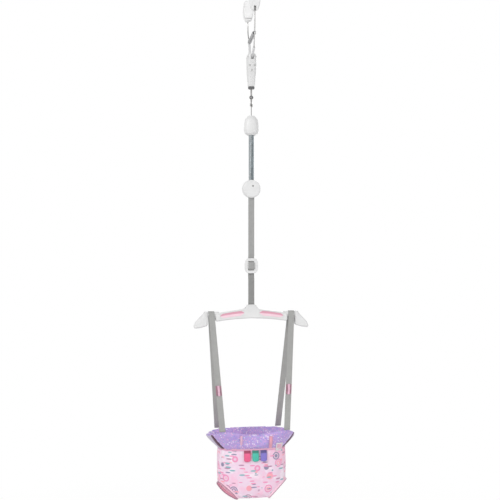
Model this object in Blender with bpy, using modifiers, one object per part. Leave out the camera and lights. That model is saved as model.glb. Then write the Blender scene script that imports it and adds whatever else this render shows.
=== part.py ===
"""Baby doorway jumper: door clamp, extension spring, adjustable strap, spreader and fabric seat.

The frame's origin is halfway between the clamp's two pads, at the middle of their height.
X runs to the right, Y away from the viewer and Z up. All lengths are in metres.
"""

import math

import bmesh
import bpy
from mathutils import Matrix, Vector

# Fits and fineness
GAP = 0.0003            # between pieces that touch
PLAY = 0.0006           # between pieces that turn or slide on each other
OVERRUN = 0.004         # how far a cutter runs past what it cuts
FINE_SEGMENTS = 20      # sides of a turned piece
ROD_SEGMENTS = 12       # sides of a pin or a hole
FLAT_ANGLE = math.radians(0.5)

# Clamp
PAD_SPACING = 0.124     # between the pads' faces when the clamp is shut
PAD_THICKNESS = 0.005
PAD_RECESS = 0.002      # depth that a pad sits in its jaw
JAW_THICKNESS = 0.014
JAW_WIDTH = 0.036
JAW_HEIGHT = 0.073
JAW_MIDDLE_RISE = -0.003
JAW_PIN_DROP = 0.030    # of the jaws' pins, below the pads' middle
ARM_WIRE = 0.004
ARM_EYE_RADIUS = 0.0045
ARM_EYE_WIDTH = 0.006
JAW_PIN_RADIUS = 0.002
PIVOT_SPACING = 0.032   # between the two pivot pins
PIVOT_DROP = 0.176
PIVOT_PIN_RADIUS = 0.0025
LEVER_THICKNESS = 0.007
LEVER_WIDTH = 0.009
LEVER_SLOT_HEIGHT = 0.026
LEVER_SLOT_DROP = 0.005  # of its middle, below the housing's top

# Clamp housing
HOUSING_TOP_DROP = 0.166
HOUSING_LENGTH = 0.107
HOUSING_WIDTH = 0.031
HOUSING_DEPTH = 0.050
HOUSING_WALL = 0.0025
COLLAR_RADIUS = 0.011
COLLAR_HEIGHT = 0.007
SCREW_HEAD_RADIUS = 0.0028
SCREW_HEAD_HEIGHT = 0.002
SCREW_SHANK_RADIUS = 0.0013

# Swivel and hook
SHANK_RADIUS = 0.003
SHANK_HEAD_RADIUS = 0.0065
SHANK_HEAD_HEIGHT = 0.003
EYE_BELOW_HOUSING = 0.0355   # from the housing's foot to the eye's middle
EYE_RADIUS = 0.0068
EYE_BORE = 0.0042
EYE_THICKNESS = 0.0045
BUSH_WALL = 0.0012
BUSH_FLANGE = 0.0010
HOOK_WIRE = 0.0028
HOOK_WRAP_DEPTH = 0.0205     # from the eye's middle down to the wraps
CAP_EYE_DEPTH = 0.0300       # from the cap's top down to the hook's lower eye

# Caps and main spring
HOOK_SHOWN = 0.0615      # from the eye's middle to the cap's top
UPPER_CAP_HEIGHT = 0.065
UPPER_CAP_WIDTH = 0.050
CAP_FLATTENING = 0.82   # depth over width of the upper cap
CAP_WALL = 0.0025
SPRING_DIAMETER = 0.0187
SPRING_WIRE = 0.0032
SPRING_PITCH = 0.0045
SPRING_SHOWN = 0.147    # between the caps
SPRING_HIDDEN = 0.010   # inside each cap
LOWER_CAP_DIAMETER = 0.061
LOWER_CAP_DEPTH = 0.029
STRAP_BAR_RADIUS = 0.002

# Webbing and slider
STRAP_WIDTH = 0.020
STRAP_THICKNESS = 0.0016
UPPER_STRAP_LENGTH = 0.200   # from the lower cap to the slider
LOOP_STRAP_LENGTH = 0.103    # from the slider to the spreader
SLIDER_WIDTH = 0.045
SLIDER_HEIGHT = 0.051
SLIDER_THICKNESS = 0.005
SLIDER_BAR_HEIGHT = 0.010

# Spreader
SPREADER_SPAN = 0.386
SPREADER_DEPTH = 0.026
SPREADER_CROWN = 0.045       # height at the middle
SPREADER_PIN_RADIUS = 0.003
NECK_SPACING = 0.268         # between the two strap necks
GROOVE_WIDTH = 0.026         # of the groove that each seat strap loops through
NECK_RADIUS = 0.009
SPREADER_WALL = 0.0028
INLAY_THICKNESS = 0.0018
INLAY_RECESS = 0.0012

# Seat
SEAT_STRAP_DROP = 0.386      # from the necks' middle to the rim
RIM_STRAP_SPACING = 0.210
RIM_STRAP_DEPTH = 0.160
RIM_WIDTH = 0.307
RIM_DEPTH = 0.122            # between the middles of the front and the rear
BAND_HEIGHT = 0.053
BAND_WALL = 0.007
BAG_WIDTH = 0.226
BAG_DEPTH = 0.130
BAG_HEIGHT = 0.162
BAG_WALL = 0.004
LEG_EDGE_ANGLE = math.radians(46)    # of the slanted cut at each lower corner
LEG_EDGE_TILT = math.radians(16)     # of that cut, up towards the front
BINDING_WIDTH = 0.008
RIBBON_THICKNESS = 0.0014
TAG_WIDTH = 0.021
TAG_LENGTH = 0.034
LABEL_WIDTH = 0.023
LABEL_HEIGHT = 0.028
TOY_LOOP_WIDTH = 0.008
TOY_LOOP_HEIGHT = 0.034

WHITE = (0.80, 0.80, 0.80)
PINK = (0.84, 0.46, 0.58)
GREY_WEBBING = (0.32, 0.32, 0.32)
STEEL = (0.45, 0.45, 0.46)
DARK = (0.03, 0.03, 0.032)
PALE_PINK = (0.90, 0.62, 0.74)
LAVENDER = (0.47, 0.33, 0.68)
SALMON = (0.92, 0.45, 0.50)
ROSE = (0.90, 0.16, 0.32)
TEAL = (0.10, 0.58, 0.44)
VIOLET = (0.24, 0.20, 0.66)

X, Y, Z = Vector((1, 0, 0)), Vector((0, 1, 0)), Vector((0, 0, 1))
FRONT, REAR = -1, 1
LEFT, RIGHT = -1, 1

# Heights and places that follow from the sizes above
housing_foot = -HOUSING_TOP_DROP - HOUSING_LENGTH
eye_drop = EYE_BELOW_HOUSING - housing_foot
cap_top_drop = eye_drop + HOOK_SHOWN
hook_wrap_drop = eye_drop + HOOK_WRAP_DEPTH
cap_eye_drop = cap_top_drop + CAP_EYE_DEPTH
spring_top = -cap_top_drop - UPPER_CAP_HEIGHT
lower_cap_top = spring_top - SPRING_SHOWN
lower_cap_middle = lower_cap_top - LOWER_CAP_DIAMETER / 2
lower_cap_foot = lower_cap_top - LOWER_CAP_DIAMETER
slider_top = lower_cap_foot - UPPER_STRAP_LENGTH
slider_foot = slider_top - SLIDER_HEIGHT
spreader_top = slider_foot - LOOP_STRAP_LENGTH
spreader_pin_height = spreader_top - SPREADER_PIN_RADIUS * 4.3
neck_height = spreader_top - SPREADER_CROWN * 0.71
crown_end = (NECK_SPACING - GROOVE_WIDTH) / 2
fin_start = (NECK_SPACING + GROOVE_WIDTH) / 2
rim_height = neck_height - SEAT_STRAP_DROP
band_foot = rim_height - BAND_HEIGHT
bag_foot = band_foot - BAG_HEIGHT


def clear_scene():
    for obj in list(bpy.data.objects):
        bpy.data.objects.remove(obj, do_unlink=True)


def new_collection(name):
    made = bpy.data.collections.new(name)
    bpy.context.scene.collection.children.link(made)
    return made


def new_material(name, colour, roughness, metallic=0.0):
    made = bpy.data.materials.new(name)
    made.use_nodes = True
    made.diffuse_color = (*colour, 1)
    shader = made.node_tree.nodes["Principled BSDF"]
    shader.inputs["Base Color"].default_value = (*colour, 1)
    shader.inputs["Roughness"].default_value = roughness
    shader.inputs["Metallic"].default_value = metallic
    return made


clear_scene()
parts = new_collection("baby_doorway_jumper")
cutters = new_collection("cutters")
white_plastic = new_material("white_plastic", WHITE, 0.42)
pink_plastic = new_material("pink_plastic", PINK, 0.55)
webbing_look = new_material("grey_webbing", GREY_WEBBING, 0.85)
zinc = new_material("zinc_plated_steel", STEEL, 0.32, 1.0)
spring_steel = new_material("spring_steel", (0.25, 0.27, 0.29), 0.28, 1.0)
black_steel = new_material("black_steel", (0.05, 0.05, 0.055), 0.35, 1.0)
lever_look = new_material("grey_plastic", (0.55, 0.55, 0.56), 0.5)
rubber = new_material("grey_rubber", (0.20, 0.20, 0.21), 0.8)
black_plastic = new_material("black_plastic", DARK, 0.5)
bag_fabric = new_material("bag_fabric", PALE_PINK, 0.9)
band_fabric = new_material("band_fabric", LAVENDER, 0.9)
binding_fabric = new_material("binding_fabric", SALMON, 0.9)
pink_ribbon = new_material("pink_ribbon", PINK, 0.8)
white_ribbon = new_material("white_ribbon", WHITE, 0.8)
tag_looks = [new_material(name, colour, 0.8) for name, colour in
             (("rose_ribbon", ROSE), ("teal_ribbon", TEAL), ("violet_ribbon", VIOLET))]


def link_part(obj, look):
    parts.objects.link(obj)
    obj.data.materials.append(look)
    return obj


def make_cutter(obj):
    for group in list(obj.users_collection):
        group.objects.unlink(obj)
    cutters.objects.link(obj)
    obj.hide_render = True
    obj.display_type = "WIRE"
    return obj


def from_bmesh(name, bm):
    mesh = bpy.data.meshes.new(name)
    bm.to_mesh(mesh)
    bm.free()
    return bpy.data.objects.new(name, mesh)


def smooth(obj, degrees=35):
    obj.data.shade_smooth()
    obj.data.set_sharp_from_angle(angle=math.radians(degrees))
    return obj


def facing(axis):
    """The turn that takes +Z to this axis."""
    return Z.rotation_difference(Vector(axis)).to_matrix().to_4x4()


def block(name, size, centre, turn=0.0):
    """A box, turned about Y."""
    bm = bmesh.new()
    bmesh.ops.create_cube(bm, size=1.0, matrix=Matrix.Diagonal((*size, 1)))
    obj = from_bmesh(name, bm)
    obj.location = centre
    obj.rotation_euler = (0, turn, 0)
    return obj


def drum(name, radius, length, centre, axis=Z, segments=ROD_SEGMENTS):
    bm = bmesh.new()
    bmesh.ops.create_cone(bm, cap_ends=True, segments=segments, radius1=radius, radius2=radius,
                          depth=length, matrix=facing(axis))
    obj = from_bmesh(name, bm)
    obj.location = centre
    return smooth(obj)


def turned(name, profile, centre=(0, 0, 0), axis=Z, closed=False, segments=FINE_SEGMENTS):
    """A profile of (radius, height) points, outer side first and top to bottom, swept round the axis."""
    bm = bmesh.new()
    points = [bm.verts.new((radius, 0, height)) for radius, height in profile]
    for a, b in zip(points, points[1:] + points[:1] if closed else points[1:]):
        bm.edges.new((a, b))
    obj = from_bmesh(name, bm)
    obj.matrix_world = Matrix.Translation(centre) @ facing(axis)
    cutters.objects.link(obj)
    screw = obj.modifiers.new("turn", "SCREW")
    screw.steps = screw.render_steps = segments
    screw.use_merge_vertices = True
    screw.merge_threshold = GAP / 100
    screw.use_smooth_shade = True
    screw.use_normal_calculate = not closed
    return obj


def baked(obj):
    """The object as its modifiers leave it, as a mesh with its caps welded and facing out."""
    bpy.context.view_layer.update()
    graph = bpy.context.evaluated_depsgraph_get()
    mesh = bpy.data.meshes.new_from_object(obj.evaluated_get(graph))
    bm = bmesh.new()
    bm.from_mesh(mesh)
    bmesh.ops.remove_doubles(bm, verts=bm.verts, dist=GAP / 100)
    bmesh.ops.recalc_face_normals(bm, faces=bm.faces)
    bm.to_mesh(mesh)
    bm.free()
    name = obj.name
    matrix = obj.matrix_world.copy()
    bpy.data.objects.remove(obj, do_unlink=True)
    made = bpy.data.objects.new(name, mesh)
    made.matrix_world = matrix
    return made


def new_curve(name, dimensions, splines, cyclic):
    data = bpy.data.curves.new(name, "CURVE")
    data.dimensions = dimensions
    for points in splines:
        spline = data.splines.new("POLY")
        spline.points.add(len(points) - 1)
        for target, point in zip(spline.points, points):
            target.co = (*point, *([0] * (3 - len(point))), 1)
        spline.use_cyclic_u = cyclic
    obj = bpy.data.objects.new(name, data)
    cutters.objects.link(obj)
    return obj


def plate(name, outline, thickness, centre=(0, 0, 0), holes=()):
    """An (x, z) outline made a plate of this thickness along Y."""
    obj = new_curve(name, "2D", [outline, *holes], True)
    obj.data.fill_mode = "BOTH"
    obj.data.extrude = thickness / 2
    obj.matrix_world = Matrix.Translation(centre) @ Matrix.Rotation(math.pi / 2, 4, "X")
    made = baked(obj)
    bm = bmesh.new()
    bm.from_mesh(made.data)
    bmesh.ops.dissolve_limit(bm, angle_limit=FLAT_ANGLE, verts=bm.verts, edges=bm.edges)
    bm.to_mesh(made.data)
    bm.free()
    return made


def wire(name, points, radius, fineness=2):
    obj = new_curve(name, "3D", [points], False)
    obj.data.bevel_depth = radius
    obj.data.bevel_resolution = fineness
    obj.data.use_fill_caps = True
    return smooth(baked(obj))


def webbing(name, path, width=STRAP_WIDTH, thickness=STRAP_THICKNESS, centre=(0, 0, 0), slant=0.0):
    """A flat strap along a path of (y, z) points, slanted about Y."""
    obj = new_curve(name, "2D", [path], False)
    obj.data.fill_mode = "NONE"
    obj.data.extrude = width / 2
    solidify = obj.modifiers.new("thickness", "SOLIDIFY")
    solidify.thickness = thickness
    solidify.offset = 0
    solidify.use_even_offset = True
    stand_up = Matrix(((0, 0, 1), (1, 0, 0), (0, 1, 0))).to_4x4()
    obj.matrix_world = Matrix.Translation(centre) @ Matrix.Rotation(slant, 4, "Y") @ stand_up
    return baked(obj)


def bevel(obj, width, segments=2, degrees=40):
    modifier = obj.modifiers.new("rounding", "BEVEL")
    modifier.width = width
    modifier.segments = segments
    modifier.limit_method = "ANGLE"
    modifier.angle_limit = math.radians(degrees)
    return obj


def combine(obj, tool, operation="DIFFERENCE"):
    modifier = obj.modifiers.new(operation.lower(), "BOOLEAN")
    modifier.operation = operation
    modifier.object = make_cutter(tool)
    return obj


def pivot(name, place, parent=None):
    """An empty on a joint's axis, which carries what moves there."""
    empty = bpy.data.objects.new(name, None)
    parts.objects.link(empty)
    empty.empty_display_size = PIVOT_SPACING
    empty.matrix_world = Matrix.Translation(place)
    if parent:
        carry(parent, empty)
    return empty


def carry(empty, *pieces):
    bpy.context.view_layer.update()
    for piece in pieces:
        piece.parent = empty
        piece.matrix_parent_inverse = empty.matrix_world.inverted()


def mirrored(half):
    """An outline of (x, z) points at x >= 0, top to bottom, closed by its mirror image."""
    return list(half) + [(-x, z) for x, z in reversed(half) if x > GAP]


def arc(centre, radius, start, end, count):
    """Points on an arc, in degrees."""
    angles = [math.radians(start + (end - start) * i / (count - 1)) for i in range(count)]
    return [(centre[0] + radius * math.cos(a), centre[1] + radius * math.sin(a)) for a in angles]


def smooth_line(points, count):
    """A smooth curve through the points, with this many points a stretch."""
    padded = [points[0], *points, points[-1]]
    line = []
    for a, b, c, d in zip(padded, padded[1:], padded[2:], padded[3:]):
        a, b, c, d = Vector(a), Vector(b), Vector(c), Vector(d)
        for i in range(count):
            t = i / count
            line.append(b + 0.5 * t * (c - a + t * (2 * a - 5 * b + 4 * c - d + t * (3 * (b - c) + d - a))))
    return [*line, Vector(points[-1])]


def least_gap(points, wire_diameter):
    """The least clear distance between turns of a wound wire, measured on its points."""
    nearest = math.inf
    run = [0.0]
    for a, b in zip(points, points[1:]):
        run.append(run[-1] + (b - a).length)
    for i, a in enumerate(points):
        for j in range(i + 1, len(points) - 1):
            if run[j] - run[i] > 3 * wire_diameter:
                b, c = points[j], points[j + 1]
                share = max(0, min(1, (a - b).dot(c - b) / (c - b).length_squared))
                nearest = min(nearest, (a - b.lerp(c, share)).length)
    return nearest - wire_diameter


def superellipse(half_x, half_y, power, count):
    ring = []
    for i in range(count):
        a = 2 * math.pi * i / count
        c, s = math.cos(a), math.sin(a)
        ring.append((half_x * math.copysign(abs(c) ** (2 / power), c),
                     half_y * math.copysign(abs(s) ** (2 / power), s)))
    return ring


def loft(name, rings, cyclic=False, split=False):
    """A closed body through rings of as many (x, y, z) points each, capped or closed on itself."""
    bm = bmesh.new()
    loops = [[bm.verts.new(point) for point in ring] for ring in rings]
    for upper, lower in zip(loops, loops[1:] + loops[:1] if cyclic else loops[1:]):
        for i in range(len(upper)):
            j = (i + 1) % len(upper)
            if split:
                falls = upper[0].co.z > lower[0].co.z
                bm.faces.new((upper[i], upper[j], lower[j if falls else i]))
                bm.faces.new((upper[i if falls else j], lower[j], lower[i]))
            else:
                bm.faces.new((upper[i], upper[j], lower[j], lower[i]))
    if not cyclic:
        bm.faces.new(loops[0])
        bm.faces.new(loops[-1])
    bmesh.ops.recalc_face_normals(bm, faces=bm.faces)
    return from_bmesh(name, bm)


def half_space(name, side):
    """A box over everything on one side of the plane in which halves part, less half a gap."""
    reach = SPREADER_SPAN
    return block(name, (2 * reach, reach, 8 * reach), (0, side * (reach + GAP) / 2, -4 * reach + reach))


# The door clamp

JAW_OUTLINE_SHARES = ((0, 1), (0.45, 1), (0.72, 0.93), (0.83, 0.7), (0.95, 0.3), (1, 0), (0.95, -0.3),
                      (0.82, -0.6), (0.62, -0.86), (0.4, -0.97), (0, -1))
FRONT_ARM_PATH = ((-0.047, -0.1601), (-0.055, -0.156), (-0.0615, -0.146), (-0.070, -0.105),
                  (-0.0750, -0.060), (-0.0762, -0.045), (-0.0742, -0.034))
REAR_ARM_PATH = ((0.0487, -0.1085), (0.0530, -0.1030), (0.061, -0.0925), (0.071, -0.078),
                 (0.0750, -0.060), (0.0762, -0.045), (0.0742, -0.034))
FRONT_LEVER_PATH = ((-0.016, -0.176), (-0.058, -0.1545))
REAR_LEVER_PATH = ((0.016, -0.176), (0.027, -0.166), (0.033, -0.150), (0.041, -0.122), (0.0460, -0.1125),
                   (0.0520, -0.1045))
HOUSING_RING_SHARES = ((0, 0.80, 0.94), (0.02, 0.93, 0.99), (0.10, 1, 1), (0.30, 1, 0.86),
                       (0.55, 0.96, 0.68), (0.80, 0.82, 0.54), (0.95, 0.75, 0.48), (1, 0.70, 0.45))
HOUSING_POWER = 3.2
HOUSING_SCREW_PLACES = ((-0.008, -0.205), (0.008, -0.205), (0, -0.221))
HOUSING_SCREW_DEPTH = 0.018
HOUSING_SCREW_LENGTH = 0.026
BOSS_RADIUS = 0.004
CLAMP_SPRING_DIAMETER = 0.013
CLAMP_SPRING_WIRE = 0.002
CLAMP_SPRING_PITCH = 0.0050
CLAMP_SPRING_FRONT = (-0.0697, -0.1062)
CLAMP_SPRING_REAR = (0.0432, -0.1168)

pin_side = PAD_SPACING / 2 + PAD_THICKNESS - PAD_RECESS + JAW_THICKNESS * 0.61


def jaw_outline(width, height, middle=0.0):
    half = smooth_line(JAW_OUTLINE_SHARES, 1)
    return mirrored([(x * width / 2, middle + z * height / 2) for x, z in half])


def make_jaw(name, side, parent):
    inner = PAD_SPACING / 2 + PAD_THICKNESS - PAD_RECESS
    middle = side * (inner + JAW_THICKNESS / 2)
    jaw = plate(name, jaw_outline(JAW_WIDTH, JAW_HEIGHT), JAW_THICKNESS, (0, middle, JAW_MIDDLE_RISE))
    bevel(jaw, JAW_THICKNESS / 6, 1)
    pad_width, pad_height = JAW_WIDTH * 0.86, JAW_HEIGHT * 0.9
    recess = plate(name + "_recess", jaw_outline(pad_width + 2 * GAP, pad_height + 2 * GAP),
                   2 * (PAD_RECESS + GAP), (0, side * inner, JAW_MIDDLE_RISE))
    combine(jaw, recess)
    floor = inner + PAD_RECESS + 5 * GAP
    slot_top = -JAW_PIN_DROP + ARM_EYE_RADIUS + 2 * PLAY
    combine(jaw, block(name + "_slot", (ARM_EYE_WIDTH + 2 * PLAY, JAW_THICKNESS, JAW_HEIGHT),
                       (0, side * (floor + JAW_THICKNESS / 2), slot_top - JAW_HEIGHT / 2)))
    combine(jaw, drum(name + "_pin_hole", JAW_PIN_RADIUS + GAP, JAW_WIDTH + OVERRUN,
                      (0, side * pin_side, -JAW_PIN_DROP), X))
    link_part(smooth(jaw), white_plastic)
    pad = plate(name + "_pad", jaw_outline(pad_width, pad_height), PAD_THICKNESS,
                (0, side * (PAD_SPACING + PAD_THICKNESS) / 2, JAW_MIDDLE_RISE))
    link_part(pad, rubber)
    tilt = pivot(name + "_tilt", (0, side * pin_side, -JAW_PIN_DROP), parent)
    carry(tilt, jaw, pad)


def make_arm(word, side, arm_path, lever_path):
    turn = pivot(word + "_arm_turn", (0, side * PIVOT_SPACING / 2, -PIVOT_DROP))
    path = [Vector((0, y, z)) for y, z in smooth_line([*arm_path, (side * pin_side, -JAW_PIN_DROP)], 3)]
    arm = wire(word + "_arm", path, ARM_WIRE / 2)
    combine(arm, drum(word + "_arm_eye", ARM_EYE_RADIUS, ARM_EYE_WIDTH,
                      (0, side * pin_side, -JAW_PIN_DROP), X), "UNION")
    combine(arm, drum(word + "_arm_bore", JAW_PIN_RADIUS + GAP, JAW_WIDTH,
                      (0, side * pin_side, -JAW_PIN_DROP), X))
    link_part(arm, zinc)
    lever = webbing(word + "_lever", smooth_line(lever_path, 2), LEVER_THICKNESS, LEVER_WIDTH)
    bevel(lever, LEVER_THICKNESS / 7, 1)
    combine(lever, drum(word + "_lever_boss", LEVER_WIDTH * 0.6, LEVER_THICKNESS + 2 * PLAY,
                        (0, side * PIVOT_SPACING / 2, -PIVOT_DROP), X), "UNION")
    combine(lever, drum(word + "_lever_bore", PIVOT_PIN_RADIUS + GAP, JAW_WIDTH,
                        (0, side * PIVOT_SPACING / 2, -PIVOT_DROP), X))
    socket_end = path[0] - GAP * (path[1] - path[0]).normalized()
    combine(lever, wire(word + "_lever_socket", [socket_end, *path[1:]], ARM_WIRE / 2 + GAP))
    if side == REAR:
        combine(lever, drum("spring_hole", CLAMP_SPRING_WIRE / 2 + GAP, JAW_WIDTH,
                            (0, *CLAMP_SPRING_REAR), X))
    link_part(smooth(lever), lever_look)
    pin = drum(word + "_jaw_pin", JAW_PIN_RADIUS, JAW_WIDTH * 0.6, (0, side * pin_side, -JAW_PIN_DROP), X)
    link_part(pin, zinc)
    carry(turn, arm, lever, pin)
    make_jaw(word + "_jaw", side, turn)
    hinge_pin = drum(word + "_pivot_pin", PIVOT_PIN_RADIUS, HOUSING_WIDTH - 3 * PLAY,
                     (0, side * PIVOT_SPACING / 2, -PIVOT_DROP), X)
    link_part(hinge_pin, zinc)
    return turn


def housing_loft(name, inset, top_inset, foot_inset):
    rings = []
    for drop, width, depth in HOUSING_RING_SHARES:
        height = -HOUSING_TOP_DROP - drop * HOUSING_LENGTH
        height = min(max(height, housing_foot + foot_inset), -HOUSING_TOP_DROP - top_inset)
        rings.append([(x, y, height - len(rings) * GAP / 1000) for x, y in
                      superellipse(width * HOUSING_WIDTH / 2 - inset, depth * HOUSING_DEPTH / 2 - inset,
                                   HOUSING_POWER, 20)])
    return loft(name, rings)


def make_screw(name, place, axis, length):
    """A screw whose head's outer face is at this place and whose shank runs along the axis."""
    head, shank = SCREW_HEAD_RADIUS, SCREW_SHANK_RADIUS
    profile = [(0, length), (shank, length), (shank, SCREW_HEAD_HEIGHT),
               (head, SCREW_HEAD_HEIGHT), (head, SCREW_HEAD_HEIGHT * 0.3), (head * 0.75, 0), (0, 0)]
    screw = smooth(baked(turned(name, profile, place, axis, segments=ROD_SEGMENTS * 5 // 8)))
    half = head * 0.5
    combine(screw, block(name + "_slot", (half / 2, SCREW_HEAD_HEIGHT * 0.8, half * 5), place, 0.6))
    return link_part(screw, zinc)


def make_housing():
    for word, side in (("front", FRONT), ("rear", REAR)):
        shell = housing_loft(f"clamp_housing_{word}", 0, 0, 0)
        bevel(shell, HOUSING_WALL / 2, 1, 50)
        cavity = housing_loft(f"{word}_cavity", HOUSING_WALL, HOUSING_WALL, HOUSING_WALL * 2.4)
        for n, (x, z) in enumerate(HOUSING_SCREW_PLACES):
            combine(cavity, drum(f"{word}_boss_{n}", BOSS_RADIUS, HOUSING_DEPTH * 2, (x, 0, z), Y))
        combine(shell, cavity)
        for end in (FRONT, REAR):
            slot_y = end * (HOUSING_DEPTH / 2 + PIVOT_SPACING * 0.22)
            slot_size = (LEVER_THICKNESS + 3 * PLAY, HOUSING_DEPTH, LEVER_SLOT_HEIGHT)
            combine(shell, block(f"{word}_lever_slot_{end}", slot_size,
                                 (0, slot_y, -HOUSING_TOP_DROP - LEVER_SLOT_DROP)))
            combine(shell, drum(f"{word}_pin_hole_{end}", PIVOT_PIN_RADIUS + GAP, HOUSING_WIDTH * 2,
                                (0, end * PIVOT_SPACING / 2, -PIVOT_DROP), X))
        combine(shell, drum(f"{word}_shank_hole", SHANK_RADIUS + PLAY, HOUSING_WIDTH, (0, 0, housing_foot)))
        for n, (x, z) in enumerate(HOUSING_SCREW_PLACES):
            length = HOUSING_SCREW_LENGTH + 2 * GAP
            combine(shell, drum(f"{word}_screw_hole_{n}", SCREW_SHANK_RADIUS + GAP, length,
                                (x, length / 2 - HOUSING_SCREW_DEPTH, z), Y))
            sink = -HOUSING_SCREW_DEPTH - HOUSING_DEPTH / 2 + SCREW_HEAD_HEIGHT + GAP
            combine(shell, drum(f"{word}_screw_sink_{n}", SCREW_HEAD_RADIUS + GAP, HOUSING_DEPTH,
                                (x, sink, z), Y))
        combine(shell, half_space(f"{word}_half", side), "INTERSECT")
        link_part(smooth(shell), white_plastic)
    for n, (x, z) in enumerate(HOUSING_SCREW_PLACES):
        make_screw(f"clamp_housing_screw_{n + 1}", (x, -HOUSING_SCREW_DEPTH, z), Y, HOUSING_SCREW_LENGTH)
    ring = [(COLLAR_RADIUS * 0.9, 0), (COLLAR_RADIUS, -COLLAR_HEIGHT * 0.2),
            (COLLAR_RADIUS * 0.95, -COLLAR_HEIGHT), (SHANK_RADIUS + PLAY, -COLLAR_HEIGHT),
            (SHANK_RADIUS + PLAY, 0)]
    collar = smooth(baked(turned("collar", ring, (0, 0, housing_foot - GAP), closed=True)))
    link_part(collar, black_plastic)


def coil_points(turns, per_turn, radius, pitch, start_angle=0.0):
    """Points of a helix down from height 0."""
    count = round(turns * per_turn)
    return [Vector((radius * math.cos(start_angle + 2 * math.pi * i / per_turn),
                    radius * math.sin(start_angle + 2 * math.pi * i / per_turn), -pitch * i / per_turn))
            for i in range(count + 1)]


make_housing()
front_turn = make_arm("front", FRONT, FRONT_ARM_PATH, FRONT_LEVER_PATH)
make_arm("rear", REAR, REAR_ARM_PATH, REAR_LEVER_PATH)


# The clamp's spring, swivel and hook

HOOK_LOOP_PATH = ((-0.0022, -0.0018), (-0.0062, -0.0027), (-0.0082, -0.0072), (-0.0072, -0.0127),
                  (-0.0030, -0.0177), (0, -0.0215))
HOOK_LOOP_RISE = 0.0018
HOOK_WRAPS = 3
CAP_EYE_RADIUS = 0.0050
CLAMP_SPRING_ENDS = 0.020    # of its length, for both hooks
ARM_HOOK_SHARES = ((1, 0.76), (1, 0.09), (0.75, -0.72), (0, -1), (-0.75, -0.72), (-1, 0.09), (-1, 1.21))
LEVER_HOOK_SHARES = (0.87, 0.42)
SPRING_HOOK_PATH = ((-0.0062, -0.0065), (-0.0050, -0.0030), (-0.0028, -0.0008), (0, 0), (0.0026, -0.0006),
                    (0.0052, -0.0030), (0.0072, -0.0080), (0.0078, -0.0165))
POST_OFFSET = 0.0035         # of the post in the lower cap that the spring hooks round
POST_DROP = 0.0215
POST_RADIUS = 0.0042
LOWER_SCREW_LENGTH = 0.021
UPPER_CAP_SHARES = ((0, 0.16), (0, 0.43), (0.10, 0.69), (0.20, 0.86), (0.34, 0.93), (0.52, 0.97),
                    (0.70, 1), (0.82, 0.96), (0.90, 0.88), (0.97, 0.66), (1, 0.50))


def make_clamp_spring():
    front_y, front_z = CLAMP_SPRING_FRONT
    rear_y, rear_z = CLAMP_SPRING_REAR
    start, end = Vector((0, front_y, front_z)), Vector((0, rear_y, rear_z))
    length = (end - start).length
    radius = (CLAMP_SPRING_DIAMETER - CLAMP_SPRING_WIRE) / 2
    turns = math.floor((length - CLAMP_SPRING_ENDS) / CLAMP_SPRING_PITCH)
    clear = ARM_WIRE / 2 + CLAMP_SPRING_WIRE / 2 + GAP
    lever_clear = LEVER_THICKNESS / 2 + CLAMP_SPRING_WIRE / 2 + GAP
    coil = coil_points(turns, 8, radius, CLAMP_SPRING_PITCH, math.pi)
    lead = (length - turns * CLAMP_SPRING_PITCH) / 2
    points = [Vector((across * clear, 0, -down * clear)) for across, down in ARM_HOOK_SHARES]
    points.append(Vector((-clear * 1.3, -radius * 0.3, -lead * 0.75)))
    points += [p - Vector((0, 0, lead)) for p in coil]
    points.append(Vector((-lever_clear, radius * 0.5, -length + lead * 0.72)))
    points += [Vector((-lever_clear, 0, share * lever_clear - length)) for share in LEVER_HOOK_SHARES]
    points += [Vector((-lever_clear + GAP, 0, -length + 2 * GAP)),
               Vector((-lever_clear * 0.79, 0, -length)), Vector((lever_clear, 0, -length))]
    turn = Matrix.Translation(start) @ facing(-(end - start))
    placed = [turn @ p for p in points]
    print("clamp spring, least gap in metres:", round(least_gap(placed, CLAMP_SPRING_WIRE), 5))
    return link_part(wire("clamp_spring", placed, CLAMP_SPRING_WIRE / 2, 1), black_steel)


def make_swivel(swivel):
    head_top = housing_foot + HOUSING_WALL * 2.4 + GAP + SHANK_HEAD_HEIGHT
    bevel_depth = SHANK_HEAD_HEIGHT / 4
    foot = -eye_drop + EYE_BORE + BUSH_WALL + GAP
    head_foot = head_top - SHANK_HEAD_HEIGHT
    rod = [(0, head_top), (SHANK_HEAD_RADIUS - bevel_depth, head_top),
           (SHANK_HEAD_RADIUS, head_top - bevel_depth), (SHANK_HEAD_RADIUS, head_foot),
           (SHANK_RADIUS, head_foot), (SHANK_RADIUS, foot), (0, foot)]
    shank = baked(turned("swivel_shank", rod, segments=ROD_SEGMENTS))
    edge = EYE_THICKNESS / 2
    ring = [(EYE_RADIUS - edge * 0.5, edge), (EYE_RADIUS, edge * 0.4), (EYE_RADIUS, -edge * 0.4),
            (EYE_RADIUS - edge * 0.5, -edge), (EYE_BORE, -edge), (EYE_BORE, edge)]
    centre = (0, 0, -eye_drop)
    combine(shank, baked(turned("eye_ring", ring, centre, Y, True)), "UNION")
    combine(shank, drum("eye_bore", EYE_BORE, EYE_RADIUS * 2, centre, Y, FINE_SEGMENTS))
    link_part(smooth(shank), zinc)
    outer, inner = EYE_BORE - GAP, EYE_BORE - GAP - BUSH_WALL
    face, flange = edge + GAP, edge + GAP + BUSH_FLANGE
    rim = EYE_BORE + BUSH_WALL
    sleeve = [(rim, flange), (rim, face), (outer, face), (outer, -face), (rim, -face), (rim, -flange),
              (inner, -flange), (inner, flange)]
    bush = smooth(baked(turned("eye_bush", sleeve, centre, Y, True, ROD_SEGMENTS)))
    link_part(bush, black_plastic)
    carry(swivel, shank, bush)


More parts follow.
